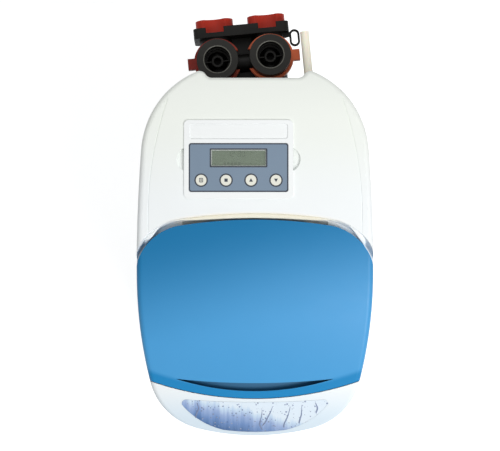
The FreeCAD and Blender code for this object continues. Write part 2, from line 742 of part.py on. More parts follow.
def rounded(x, y, radius):
    """The outline of a rectangle with round corners, for draw."""
    (left, right), (low, high) = x, y
    return [
        (right - radius, low),
        (right, low + radius, radius),
        (right, high - radius),
        (right - radius, high, radius),
        (left + radius, high),
        (left, high - radius, radius),
        (left, low + radius),
        (left + radius, low, radius),
    ]


def part(label, *shapes):
    """A finished piece, under the name of its file."""
    piece = shapes[0]
    if len(shapes) > 1:
        piece = doc.addObject("Part::Compound", label + "_group")
        piece.Links = list(shapes)
    piece.Label = label
    parts.append(piece)


# Outline and side view shared by the cover, the lid and the cabinet


def outline_half(body, name, height, inset):
    """Right half of the outline from above, drawn in by inset, as tangent arcs closed along the middle."""
    wide = s.cover_width / 2
    end = s.cover_depth / 2
    corner_y = float(end - s.corner_back)
    side = float(s.side_radius), float(wide - s.side_radius), float(s.widest_y)
    front = float(s.front_side_radius), float(wide - s.front_side_radius), float(s.widest_y)
    corner_r = float(s.corner_radius)
    reach = side[0] - corner_r
    corner = corner_r, side[1] + math.sqrt(reach**2 - (corner_y - side[2]) ** 2), corner_y
    shoulder_y = float(end - s.shoulder_radius)
    reach = corner_r - float(s.shoulder_radius)
    shoulder_x = corner[1] + math.sqrt(reach**2 - (shoulder_y - corner_y) ** 2)
    shoulder = float(s.shoulder_radius), shoulder_x, shoulder_y
    foot_y = float(end - s.notch_depth + s.notch_radius)
    reach = float(s.notch_radius + s.shoulder_radius)
    foot = float(s.notch_radius), shoulder_x - math.sqrt(reach**2 - (foot_y - shoulder_y) ** 2), foot_y
    nose = float(s.nose_radius), 0.0, float(s.nose_radius - end)
    # the front corner touches the front side from within and the nose from within
    far, near = front[0] - float(s.nose_corner_radius), nose[0] - float(s.nose_corner_radius)
    between = math.hypot(nose[1] - front[1], nose[2] - front[2])
    step = (far**2 - near**2 + between**2) / (2 * between)
    off = math.sqrt(far**2 - step**2)
    ux, uy = (nose[1] - front[1]) / between, (nose[2] - front[2]) / between
    front_corner = (
        float(s.nose_corner_radius),
        front[1] + ux * step + uy * off,
        front[2] + uy * step - ux * off,
    )
    sketch = new_sketch(body, name, "XY_Plane", height)
    circles = [foot, shoulder, corner, side, front, front_corner, nose]
    bends = [1, -1, -1, -1, -1, -1, -1]
    depth = float(inset)
    radii = [c[0] + depth * bend for c, bend in zip(circles, bends)]
    flat_y = float(end - s.notch_depth) - depth
    joints = [Vector(foot[1], flat_y, 0)]
    for index in range(len(circles) - 1):
        a, b = circles[index], circles[index + 1]
        direction = Vector(b[1] - a[1], b[2] - a[2], 0).normalize()
        if bends[index] != bends[index + 1]:
            turn = direction
        elif a[0] < b[0]:
            turn = -direction
        else:
            turn = direction
        joints.append(Vector(a[1], a[2], 0) + turn * radii[index])
    joints.append(Vector(0, nose[2] - radii[-1], 0))
    sketch.addGeometry(Part.LineSegment(Vector(0, flat_y, 0), joints[0]))
    for index, circle in enumerate(circles):
        centre = Vector(circle[1], circle[2], 0)
        ends = [joints[index], joints[index + 1]]
        if bends[index] < 0:
            ends.reverse()
        angles = [math.atan2(p.y - centre.y, p.x - centre.x) for p in ends]
        ring = Part.Circle(centre, Vector(0, 0, 1), radii[index])
        sketch.addGeometry(Part.ArcOfCircle(ring, *angles))
    sketch.addGeometry(Part.LineSegment(joints[-1], Vector(0, flat_y, 0)))
    # a right-hand arc is stored backwards, so its first end comes second
    enters = [1] + [1 if bend > 0 else 2 for bend in bends] + [1]
    leaves = [2] + [2 if bend > 0 else 1 for bend in bends] + [2]
    for index in range(len(bends)):
        constrain(sketch, "Tangent", index, leaves[index], index + 1, enters[index + 1])
    constrain(sketch, "Coincident", len(bends), leaves[-2], len(bends) + 1, 1)
    constrain(sketch, "Coincident", len(bends) + 1, 2, 0, 1)
    constrain(sketch, "PointOnObject", 0, 1, -2)
    constrain(sketch, "PointOnObject", len(bends) + 1, 1, -2)
    constrain(sketch, "PointOnObject", len(bends), 3, -2)
    constrain(sketch, "Horizontal", 0)
    named = (
        s.notch_radius + inset,
        s.shoulder_radius - inset,
        s.corner_radius - inset,
        s.side_radius - inset,
        s.front_side_radius - inset,
        s.nose_corner_radius - inset,
        s.nose_radius - inset,
    )
    for index, radius in enumerate(named):
        constrain(sketch, "Radius", index + 1, size=radius)
    constrain(sketch, "DistanceY", -1, 1, 0, 1, size=end - s.notch_depth - inset)
    constrain(sketch, "DistanceY", -1, 1, len(bends) + 1, 1, size=inset - end)
    constrain(sketch, "DistanceX", -1, 1, 4, 1, size=wide - inset)
    constrain(sketch, "DistanceY", -1, 1, 4, 1, size=s.widest_y)
    constrain(sketch, "DistanceY", -1, 1, 4, 3, size=s.widest_y)
    constrain(sketch, "DistanceY", -1, 1, 3, 3, size=end - s.corner_back)
    constrain(sketch, "DistanceY", -1, 1, 2, 3, size=end - s.shoulder_radius)
    solved = sketch.solve()
    if solved != 0:
        raise RuntimeError("outline %s does not solve: %d" % (name, solved))
    return sketch


def mirrored(name, half):
    """A half and its mirror image across the middle, as one solid."""
    other = doc.addObject("Part::Mirroring", name + "_other")
    other.Source = half
    other.Normal = Vector(1, 0, 0)
    return fuse(name, half, other)


def shell_half(name, low, high, low_inset, high_inset):
    """Right half of a solid between two outlines."""
    body = new_body(name)
    lower = outline_half(body, name + "_low", low, low_inset)
    upper = outline_half(body, name + "_high", high, high_inset)
    loft = body.newObject("PartDesign::AdditiveLoft", name + "_loft")
    loft.Profile = lower
    loft.Sections = [upper]
    loft.Ruled = True
    return body


def top_line(sketch, drop):
    """Side view of the cover's top: everything above it, with the top lowered by drop."""
    tilt = float(s.panel_tilt)
    lean = math.radians(tilt)
    past = WIDE
    back, front = float(s.cover_depth) / 2 + past, -float(s.cover_depth) / 2 - past
    sky = float(s.total_height) + past
    drop_ = float(drop)
    rear_r, lid_r, nose_r = (float(r) - drop_ for r in (s.rear_round, s.lid_crown, s.nose_round))
    b_y = float(s.flat_back)
    b_z = float(s.total_height) - float(s.rear_round) * (1 - math.cos(lean)) - drop_ / math.cos(lean)
    c_y = float(s.lid_back)
    c_z = b_z - (b_y - c_y) * math.tan(lean)
    rear_centre = Vector(b_y + rear_r * math.sin(lean), b_z - rear_r * math.cos(lean), 0)
    lid_centre = Vector(c_y + lid_r * math.sin(lean), c_z - lid_r * math.cos(lean), 0)
    d_y = float(s.nose_back)
    slope = math.asin((lid_centre.x - d_y) / lid_r)
    d = Vector(d_y, lid_centre.y + lid_r * math.cos(slope), 0)
    nose_centre = d + (lid_centre - d) * (nose_r / lid_r)
    a_fall = math.asin((back - rear_centre.x) / rear_r)
    a = Vector(back, rear_centre.y + rear_r * math.cos(a_fall), 0)
    e_slope = math.asin((nose_centre.x - front) / nose_r)
    e = Vector(front, nose_centre.y + nose_r * math.cos(e_slope), 0)
    b, c = Vector(b_y, b_z, 0), Vector(c_y, c_z, 0)
    flat = math.pi / 2
    up = Vector(0, 0, 1)
    rear = Part.Circle(rear_centre, up, rear_r)
    lid = Part.Circle(lid_centre, up, lid_r)
    nose = Part.Circle(nose_centre, up, nose_r)
    sketch.addGeometry(Part.ArcOfCircle(rear, flat - a_fall, flat + lean))
    sketch.addGeometry(Part.LineSegment(b, c))
    sketch.addGeometry(Part.ArcOfCircle(lid, flat + lean, flat + slope))
    sketch.addGeometry(Part.ArcOfCircle(nose, flat + slope, flat + e_slope))
    corner, other = Vector(front, sky, 0), Vector(back, sky, 0)
    sketch.addGeometry(Part.LineSegment(e, corner))
    sketch.addGeometry(Part.LineSegment(corner, other))
    sketch.addGeometry(Part.LineSegment(other, a))
    for first, second in ((0, 1), (1, 2), (2, 3)):
        constrain(sketch, "Tangent", first, 2, second, 1)
    for first, second in ((3, 4), (4, 5), (5, 6), (6, 0)):
        constrain(sketch, "Coincident", first, 2, second, 1)
    constrain(sketch, "Vertical", 4)
    constrain(sketch, "Horizontal", 5)
    constrain(sketch, "Vertical", 6)
    constrain(sketch, "Radius", 0, size=s.rear_round - drop)
    constrain(sketch, "Radius", 2, size=s.lid_crown - drop)
    constrain(sketch, "Radius", 3, size=s.nose_round - drop)
    rise = s.rear_round * (1 - cosine(s.panel_tilt)) + drop / cosine(s.panel_tilt)
    constrain(sketch, "DistanceX", -1, 1, 1, 1, size=s.flat_back)
    constrain(sketch, "DistanceY", -1, 1, 1, 1, size=s.total_height - rise)
    constrain(sketch, "DistanceX", -1, 1, 1, 2, size=s.lid_back)
    fall = (s.flat_back - s.lid_back) * sine(s.panel_tilt) / cosine(s.panel_tilt)
    constrain(sketch, "DistanceY", -1, 1, 1, 2, size=s.total_height - rise - fall)
    constrain(sketch, "DistanceX", -1, 1, 3, 1, size=s.nose_back)
    constrain(sketch, "DistanceX", -1, 1, 4, 2, size=s.cover_depth / -2 - past)
    constrain(sketch, "DistanceX", -1, 1, 5, 2, size=s.cover_depth / 2 + past)
    constrain(sketch, "DistanceY", -1, 1, 5, 2, size=s.total_height + past)
    solved = sketch.solve()
    if solved != 0:
        raise RuntimeError("side view %s does not solve: %d" % (sketch.Name, solved))


def top_edges(body, clear):
    """The edges where the top meets the sides, apart from those in the middle plane."""
    found = []
    for index, edge in enumerate(body.Shape.Edges, 1):
        points = [edge.valueAt(edge.FirstParameter + (edge.LastParameter - edge.FirstParameter) * t)
                  for t in (0.2, 0.5, 0.8)]
        off_middle = max(abs(p.x) for p in points) > 0.01
        low = min(p.z for p in points)
        faces = [f for f in body.Shape.Faces if any(edge.isSame(e) for e in f.Edges)]
        if off_middle and low > clear and len(faces) == 2:
            normals = [abs(face_normal(f, points[1]).z) for f in faces]
            if max(normals) > 0.45 and min(normals) < 0.3:
                found.append("Edge%d" % index)
    return found


def face_normal(face, point):
    """A face's normal at the point of it nearest to a given point."""
    u, v = face.Surface.parameter(point)
    return face.normalAt(u, v)


def envelope(name, inset, rim=None, edge=None):
    """The cover's outer form, drawn in by inset all round, on top too."""
    rim = s.rim_height if rim is None else rim
    top = s.total_height + CLEAR
    half = shell_half(name + "_half", rim, top, inset, s.cover_flare + inset)
    sketch = new_sketch(half, name + "_side", "YZ_Plane")
    top_line(sketch, inset)
    pocket = half.newObject("PartDesign::Pocket", name + "_top")
    pocket.Profile = sketch
    pocket.Midplane = True
    bind(pocket, "Length", s.cover_width * 2)
    doc.recompute()
    if edge is not None:
        rounding = half.newObject("PartDesign::Fillet", name + "_edge")
        rounding.Base = (pocket, top_edges(half, float(rim) + PAST))
        bind(rounding, "Radius", edge)
        doc.recompute()
    return mirrored(name, half)


def ball(name, x, y, z, radius):
    """A full ball at a point."""
    sphere = doc.addObject("Part::Sphere", name)
    bind(sphere, "Radius", radius)
    move_to(sphere, x, y, z)
    return sphere


def slab_y(name, points, span):
    """An outline in X and Z, between two places along Y."""
    return plate(name, points, (-span[1], -span[0]), "XZ_Plane")


def pipe(name, points, radius):
    """Round runs between points that differ in one coordinate each, with a ball at each bend."""
    runs = []
    for index in range(len(points) - 1):
        start, end = points[index], points[index + 1]
        steps = [abs(float(b) - float(a)) for a, b in zip(start, end)]
        way = steps.index(max(steps))
        low, high = start[way], end[way]
        if float(low) > float(high):
            low, high = high, low
        at = [start[i] for i in range(3) if i != way]
        runs.append(rod("%s_run%d" % (name, index), "XYZ"[way], at, (low, high), radius))
        if index:
            runs.append(ball("%s_bend%d" % (name, index), *start, radius))
    return fuse(name, *runs) if len(runs) > 1 else runs[0]


# shape of a tooth, in modules: depth under and height over the pitch circle, half the width of the
# gap there as a share of pi, lean of its flanks, and how far the cutter reaches past the tip
TOOTH_DEPTH = 1.3
TOOTH_HEIGHT = 0.9
GAP_HALF = 0.306
FLANK_LEAN = 0.42
CUTTER_PAST = 0.55


def gear(name, teeth, module, width, bore, half_step):
    """A spur gear on Z; a gap faces X, or a tooth if half_step is set."""
    body = new_body(name)
    root_radius = teeth * module / 2 - module * TOOTH_DEPTH
    tip_radius = teeth * module / 2 + module * TOOTH_HEIGHT
    sketch = new_sketch(body, name + "_disc", "XY_Plane")
    for index, radius in enumerate((tip_radius, bore)):
        sketch.addGeometry(Part.Circle(Vector(), Vector(0, 0, 1), float(radius)))
        constrain(sketch, "Coincident", index, 3, -1, 1)
        constrain(sketch, "Radius", index, size=radius)
    disc = body.newObject("PartDesign::Pad", name + "_pad")
    disc.Profile = sketch
    bind(disc, "Length", width)
    gap = module * (math.pi * GAP_HALF)
    low = gap - module * (TOOTH_DEPTH * FLANK_LEAN)
    high = gap + module * ((TOOTH_HEIGHT + CUTTER_PAST) * FLANK_LEAN)
    end = tip_radius + module * CUTTER_PAST
    corners = [(root_radius, -low), (end, -high), (end, high), (root_radius, low)]
    if half_step:
        turn = Dim(180.0 / float(teeth), "(180 / %s)" % teeth.text)
        c, n = cosine(turn), sine(turn)
        corners = [(x * c - y * n, x * n + y * c) for x, y in corners]
    notch = draw(new_sketch(body, name + "_gap", "XY_Plane"), corners)
    pocket = body.newObject("PartDesign::Pocket", name + "_pocket")
    pocket.Profile = notch
    pocket.Reversed = True
    pocket.Type = "ThroughAll"
    pattern = body.newObject("PartDesign::PolarPattern", name + "_teeth")
    pattern.Originals = [pocket]
    pattern.Axis = (origin_feature(body, "Z_Axis"), [""])
    pattern.Angle = 360
    bind(pattern, "Occurrences", teeth)
    body.Tip = pattern
    return body


# Frames of the panel, the deck under the lid, and the valve


def tilted(shape, angle, x, y, z, axis):
    """A finished shape placed by a turn and a shift."""
    piece = doc.addObject("Part::Compound", shape.Name + "_placed")
    piece.Links = [shape]
    piece.Placement = FreeCAD.Placement(Vector(), Rotation(axis, 1))
    bind(piece, "Placement.Rotation.Angle", angle)
    move_to(piece, x, y, z)
    return piece


def in_panel(piece):
    """Lays a shape in the panel's frame: its origin is mid panel, in the cover's top face."""
    return tilted(piece, s.panel_tilt, s.panel_x, s.panel_y, flat_z(s.panel_y), Vector(1, 0, 0))


def in_deck(piece):
    """Lays a shape in the frame of the lid's lower edge."""
    return tilted(piece, s.lid_base_tilt, 0, s.lid_front, s.lid_base, Vector(1, 0, 0))


def in_valve(piece):
    """Stands a shape in the valve's frame."""
    return tilted(piece, s.valve_yaw, 0, s.tank_y, 0, Vector(0, 0, 1))


# Cover, lid and window


def lid_outline(offset):
    """The lid from above, drawn out by offset; its sides run past the cover's."""
    side = s.cover_width / 2
    corner_x = side - s.lid_corner_radius
    reach = s.lid_rear_radius - s.lid_corner_radius
    rise = root(reach * reach - corner_x * corner_x)
    corner_y = s.lid_back - s.lid_rear_radius + rise
    far = s.lid_rear_radius + offset
    meet_x = corner_x / reach * far
    meet_y = s.lid_back - s.lid_rear_radius + rise / reach * far
    wide = side + offset
    front_r = s.lid_front_radius + offset
    front_y = s.lid_front + s.lid_front_radius - root(front_r * front_r - wide * wide)
    corner_r = s.lid_corner_radius + offset
    return [
        (-wide, front_y),
        (wide, front_y, front_r),
        (wide, corner_y),
        (meet_x, meet_y, corner_r),
        (-meet_x, meet_y, far),
        (-wide, corner_y, corner_r),
    ]


def lid_column(name, offset):
    """The space above the lid's outline, and below it."""
    return plate(name, lid_outline(offset), (s.lid_base - WIDE, s.total_height + WIDE))


def above_base(name, drop):
    """All that lies above the slope of the lid's lower edge, lowered by drop."""
    wide = s.cover_width
    box = block(name + "_box", (-wide, wide), (-wide, s.cover_depth), (-drop, s.lid_down + s.cover_width))
    return in_deck(box)


def seat(name, extra):
    """The lid's place in the cover, drawn out by extra; its rear wall leans back as a cove."""
    offset = s.lid_gap + extra
    column = lid_column(name + "_column", offset)
    lean = new_body(name + "_cove")
    low = new_sketch(lean, name + "_cove_low", "XY_Plane", s.cove_foot)
    draw(low, lid_outline(offset + s.cove_gap))
    high = new_sketch(lean, name + "_cove_high", "XY_Plane", s.total_height + PAST)
    draw(high, lid_outline(offset + s.cove_gap + s.cove))
    loft = lean.newObject("PartDesign::AdditiveLoft", name + "_cove_loft")
    loft.Profile = low
    loft.Sections = [high]
    loft.Ruled = True
    return fuse(name + "_form", column, lean)


def mouth_outline(offset):
    """The salt opening from above, drawn out by offset."""
    wide = s.mouth_half + offset
    low, high = s.mouth_front - offset, s.mouth_back + offset
    return rounded((-wide, wide), (low, high), s.mouth_corner + offset)


def window_outline(offset):
    """The window from above, drawn in by offset."""
    wide = s.window_half - offset
    low_half = s.window_low_half
    top_half = wide - s.window_corner
    return [
        (-low_half, s.window_low + offset, s.window_side_radius),
        (low_half, s.window_low + offset, s.nose_radius),
        (wide, s.window_ends, s.window_side_radius),
        (top_half, s.window_top - offset, s.window_corner_radius),
        (-top_half, s.window_top - offset, -s.window_back_radius),
        (-wide, s.window_ends, s.window_corner_radius),
    ]


def groove_outline():
    """One fine groove from above."""
    inner = s.groove_radius - s.groove_width
    return [
        (s.groove_x - s.groove_width, s.groove_front, -inner),
        (s.groove_x, s.groove_front),
        (s.groove_rear_x, s.groove_rear, s.groove_radius),
        (s.groove_rear_x - s.groove_width, s.groove_rear),
    ]


def hinge_parts(name, radius, half_width, step=0):
    """Rods on the hinge axis at both hinges, step to either side of their middles."""
    rods = []
    for side in (-1, 1):
        for way in ((-1, 1) if float(step) else (0,)):
            middle = s.hinge_spread * side + step * way
            span = (middle - half_width, middle + half_width)
            tag = "%s_%d_%d" % (name, side + 1, way + 1)
            rods.append(rod(tag, "X", (s.hinge_y, s.hinge_z), span, radius))
    return rods


def barrel(name, axis, half, offset):
    """The hollow behind the hinge, drawn out by offset: two cones on the hinge axis, wide in the
    middle, because the lid's rear edge is an arc."""
    mid, end = s.trough_radius + offset, s.trough_end + offset
    form = turned(name, [(0, -half), (end, -half), (mid, 0), (end, half), (0, half)])
    return along(form, "X", axis, 0)


def ear_step():
    """Middle of a knuckle to the middle of an ear."""
    return s.knuckle_width / 2 + s.running_gap + s.ear_width / 2


def notch_rod(name, side, radius, deep):
    """A round form at the side of the panel, from above the top face down to a depth."""
    x = (s.bezel_width / 2 + s.notch_reach - s.notch_round) * side
    return in_panel(rod(name, "Z", (x, 0), (-deep, s.top_wall), radius))


def rear_opening(name):
    """The opening for the pipes in the rear walls."""
    back = s.cover_depth / 2
    deep = (back - s.neck_deep, back + WIDE)
    return block(name, (-s.neck_left, s.neck_right), deep, (s.neck_low, s.neck_high))


def cover_screw(name, side, start, end, radius):
    """A bar along X from start to end inwards from the cover's side, on one side."""
    edge = s.cover_width / 2
    low, high = (edge - end, edge - start) if side > 0 else (start - edge, end - edge)
    return rod(name, "X", (s.widest_y, s.rim_height + s.screw_up), (low, high), radius)


def make_top():
    """Top cover, salt lid, hinge pins, window, bumpers and screws."""
    zero = Dim(0, "0")
    outer = envelope("form", zero, edge=s.edge_round)
    inner = envelope("hollow", s.top_wall, s.rim_height - PAST, s.edge_round - s.top_wall)
    behind_window = envelope("window_bed", s.window_thick, edge=s.edge_round - s.window_thick)
    groove_bed = envelope("groove_bed", s.groove_depth, edge=s.edge_round - s.groove_depth)
    seat_form = seat("seat", zero)
    seat_space = common("seat_space", seat_form, above_base("seat_above", s.lid_gap))
    wall_form = seat("seat_wall", s.top_wall)
    seat_keep = common("seat_keep", wall_form, above_base("keep_above", s.lid_gap + s.top_wall))
    axis = (s.hinge_y, s.hinge_z)
    trough = barrel("trough", axis, s.trough_half, 0)
    trough_keep = barrel("trough_keep", axis, s.trough_half + s.top_wall, s.top_wall)
    collar = common(
        "collar",
        plate("collar_form", mouth_outline(s.top_wall), (s.rim_height, s.total_height)),
        above_base("collar_above", s.mouth_lip),
    )
    deep = s.notch_sink + s.top_wall
    notch_keeps = [notch_rod("notch_keep%d" % side, side, s.notch_round + s.top_wall, deep)
                   for side in (-1, 1)]
    hollow = cut("cavity", inner, seat_keep, trough_keep, collar, *notch_keeps)
    mouth = plate("mouth", mouth_outline(0), (s.rim_height, s.total_height + WIDE))
    hole_x = s.bezel_width / 2 - s.bezel_edge + s.fit_gap
    hole_y = s.bezel_depth / 2 - s.bezel_edge + s.fit_gap
    corner = s.bezel_corner - s.bezel_wall
    hole = plate("panel_hole", rounded((-hole_x, hole_x), (-hole_y, hole_y), corner), (-WIDE, WIDE))
    notches = [notch_rod("notch%d" % side, side, s.notch_round, s.notch_sink) for side in (-1, 1)]
    window_form = plate("window_form", window_outline(-s.window_gap), (s.rim_height, s.total_height))
    window_space = cut("window_space", window_form, behind_window)
    groove = plate("groove", groove_outline(), (s.rim_height, s.total_height + WIDE))
    groove_form = mirrored("grooves", groove)
    groove_space = cut("groove_space", groove_form, groove_bed)
    screw_holes = [cover_screw("screw_hole%d" % side, side, -PAST, s.top_wall * 2, s.screw_radius + s.fit_gap)
                   for side in (-1, 1)]
    screw_sinks = [cover_screw("screw_sink%d" % side, side, -PAST, s.top_wall / 2, s.screw_head + s.fit_gap)
                   for side in (-1, 1)]
    bumper_holes = []
    for side in (-1, 1):
        at = (s.bumper_x * side, s.bumper_up)
        down = -s.lid_gap - s.bumper_sink
        head = rod("bumper_sink%d" % side, "Z", at, (down, WIDE), s.bumper_radius + s.fit_gap)
        stem = rod("bumper_hole%d" % side, "Z", at, (down - s.top_wall * 2, down + PAST), s.bumper_stem)
        bumper_holes.append(in_deck(fuse("bumper_bed%d" % side, head, stem)))
    shell = cut(
        "cover_shell", outer, hollow, seat_space, trough, mouth, in_panel(hole), *notches,
        window_space, groove_space, rear_opening("cover_opening"), *screw_holes, *screw_sinks,
        *bumper_holes,
    )
    step = ear_step()
    ears = hinge_parts("ear", s.ear_radius, s.ear_width / 2, step)
    for side in (-1, 1):
        for way in (-1, 1):
            middle = s.hinge_spread * side + step * way
            span = (middle - s.ear_width / 2, middle + s.ear_width / 2)
            deep = s.trough_end + s.top_wall
            long = (s.hinge_y - s.ear_front, s.hinge_y + s.ear_back)
            tag = "ear_stem_%d_%d" % (side + 1, way + 1)
            ears.append(block(tag, span, long, (s.hinge_z - deep, s.hinge_z)))
    pin_holes = hinge_parts("pin_hole", s.hinge_pin, step + s.ear_width / 2 + PAST)
    part("top_cover", cut("cover", fuse("cover_ears", shell, *ears), *pin_holes))

    lid_outer = common("lid_outer", outer, lid_column("lid_form", zero), above_base("lid_above", zero))
    lid_inner = common("lid_inner", inner, lid_column("lid_hollow", -s.lid_edge),
                       above_base("lid_below", WIDE))
    half = s.grip_width / 2
    grip_keep = common(
        "grip_keep",
        plate("grip_outer", grip_outline(half, s.grip_floor), (s.rim_height, s.total_height)),
        lid_outer,
    )
    grip_space = common(
        "grip_space",
        plate("grip_form", grip_outline(half, zero), (s.rim_height, s.total_height)),
        above_base("grip_above", -s.grip_floor),
    )
    shell = cut("lid_shell", lid_outer, lid_inner)
    knuckles = hinge_parts("knuckle", s.knuckle_radius, s.knuckle_width / 2)
    web_y = (s.hinge_y - s.web_front, s.lid_back - s.top_wall / 2)
    webs = [block("web%d" % side, (s.hinge_spread * side - s.knuckle_width / 2,
                                   s.hinge_spread * side + s.knuckle_width / 2),
                  web_y, (s.hinge_z, s.hinge_z + s.hinge_drop))
            for side in (-1, 1)]
    web = common("webs", fuse("web_blocks", *webs), lid_outer)
    body = fuse("lid_body", shell, grip_keep, web, *knuckles)
    pin_spaces = hinge_parts("pin_space", s.hinge_pin + s.pin_gap, s.knuckle_width / 2 + PAST)
    slots = []
    for side in (-1, 1):
        for way in (-1, 1):
            middle = s.hinge_spread * side + step * way
            reach = s.ear_width / 2 + s.running_gap
            slots.append(block("slot_%d_%d" % (side + 1, way + 1), (middle - reach, middle + reach),
                               (s.hinge_y - s.ear_front - PAST, s.lid_back + WIDE),
                               (s.hinge_z - WIDE, s.hinge_z + s.hinge_drop - s.top_wall)))
    part("salt_lid", cut("lid", body, grip_space, *pin_spaces, *slots))

    pin_half = step + s.ear_width / 2 - s.running_gap
    part("hinge_pins", *hinge_parts("hinge_pin", s.hinge_pin, pin_half))
    window = plate("window_plate", window_outline(0), (s.rim_height, s.total_height))
    part("front_window", cut("window", common("window_blank", window, outer), behind_window))
    bumpers = []
    for side in (-1, 1):
        at = (s.bumper_x * side, s.bumper_up)
        down = -s.lid_gap - s.bumper_sink
        head = rod("bumper_head%d" % side, "Z", at, (down, -s.running_gap), s.bumper_radius)
        stem = rod("bumper_stem%d" % side, "Z", at, (down - s.bumper_long, down), s.bumper_stem)
        bumpers.append(in_deck(fuse("bumper%d" % side, head, stem)))
    part("lid_bumpers", *bumpers)
    screws = []
    for side in (-1, 1):
        head = cover_screw("screw_head%d" % side, side, s.running_gap, s.top_wall / 2, s.screw_head)
        stem = cover_screw("screw_stem%d" % side, side, s.top_wall / 2, s.screw_long, s.screw_radius)
        screws.append(fuse("screw%d" % side, head, stem))
    part("cover_screws", *screws)


def grip_outline(half, offset):
    """The finger grip from above, drawn out by offset."""
    wide = half + offset
    back_r = s.grip_back_radius - offset
    front_r = s.grip_front_radius + offset
    back_y = s.grip_back + s.grip_back_radius - root(back_r * back_r - wide * wide)
    front_y = s.grip_front + s.grip_front_radius - root(front_r * front_r - wide * wide)
    return [(-wide, front_y), (wide, front_y, front_r), (wide, back_y), (-wide, back_y, -back_r)]


def make_cabinet():
    """Cabinet with its parts: overflow, grommet and the ring that centres the tank."""
    top = s.rim_height + s.cabinet_lap
    lean = s.cover_flare * s.cabinet_lap / (s.total_height + CLEAR - s.rim_height)
    high = s.top_wall + s.cabinet_gap + lean
    low = high + s.cabinet_draft
    body = mirrored("cabinet_form", shell_half("cabinet_half", s.plinth_height, top, low, high))
    step = low + s.plinth_inset
    foot = mirrored("plinth", shell_half("plinth_half", 0, s.plinth_height, step, step))
    wall = s.cabinet_wall
    inside_half = shell_half("inside_half", s.cabinet_floor, top + PAST, low + wall, high + wall)
    inside = mirrored("inside", inside_half)
    ring_r = s.tank_radius + s.boot_wall + s.fit_gap
    ring_top = s.cabinet_floor + s.ring_height
    ring = tube("ring", "Z", (0, s.tank_y), (s.cabinet_floor, ring_top), ring_r + s.ring_wall, ring_r)
    back = s.cover_depth / 2 - s.notch_depth
    through = (back - WIDE, back + PAST)
    holes = [
        rod("overflow_hole", "Y", (s.overflow_x, s.overflow_z), through, s.overflow_radius),
        rod("grommet_hole", "Y", (s.grommet_x, s.grommet_z), through, s.grommet_radius),
    ]
    screws = [cover_screw("cabinet_screw%d" % side, side, 0, s.screw_long + PAST, s.screw_radius)
              for side in (-1, 1)]
    shell = cut("cabinet_shell", fuse("cabinet_solid", body, foot), inside, rear_opening("cabinet_opening"),
                *holes, *screws)
    part("cabinet", fuse("cabinet_ring", shell, ring))

    rise = s.rim_height + s.cabinet_lap - s.plinth_height
    outer_y = back - high - s.cabinet_draft * (top - s.overflow_z) / rise + s.seat_gap
    inner_y = outer_y - wall - s.seat_gap * 2
    spout_y = outer_y + s.overflow_out
    at = (s.overflow_x, s.overflow_z)
    start = inner_y - s.nut_thick - s.overflow_past
    low = s.overflow_z - s.overflow_drop
    way = pipe("overflow_way", [(s.overflow_x, start, s.overflow_z), (s.overflow_x, spout_y, s.overflow_z),
                                (s.overflow_x, spout_y, low)], s.overflow_radius)
    hollow = [(s.overflow_x, start - PAST, s.overflow_z), (s.overflow_x, spout_y, s.overflow_z),
              (s.overflow_x, spout_y, low - PAST)]
    bore = pipe("overflow_bore", hollow, s.overflow_bore)
    flange = rod("overflow_flange", "Y", at, (outer_y, outer_y + s.overflow_flange_thick), s.overflow_flange)
    collar = rod("overflow_collar", "Z", (s.overflow_x, spout_y), (low + s.overflow_long, s.overflow_z),
                 s.overflow_radius + s.overflow_step)
    knee = ball("overflow_knee", s.overflow_x, spout_y, s.overflow_z, s.overflow_radius + s.overflow_step)
    part("overflow_elbow", cut("overflow", fuse("overflow_solid", way, flange, collar, knee), bore))
    nut_span = (inner_y - s.nut_thick, inner_y)
    part("overflow_nut", tube("nut", "Y", at, nut_span, s.nut_radius, s.overflow_radius))
    at = (s.grommet_x, s.grommet_z)
    inside_y, outside_y = inner_y - s.grommet_thick, outer_y + s.grommet_thick
    grommet = [
        rod("grommet_neck", "Y", at, (inside_y, outside_y), s.grommet_radius),
        rod("grommet_outside", "Y", at, (outer_y, outside_y), s.grommet_flange),
        rod("grommet_inside", "Y", at, (inside_y, inner_y), s.grommet_flange),
    ]
    hole = rod("grommet_bore", "Y", at, (inside_y - PAST, outside_y + PAST), s.grommet_bore)
    part("power_grommet", cut("grommet", fuse("grommet_solid", *grommet), hole))


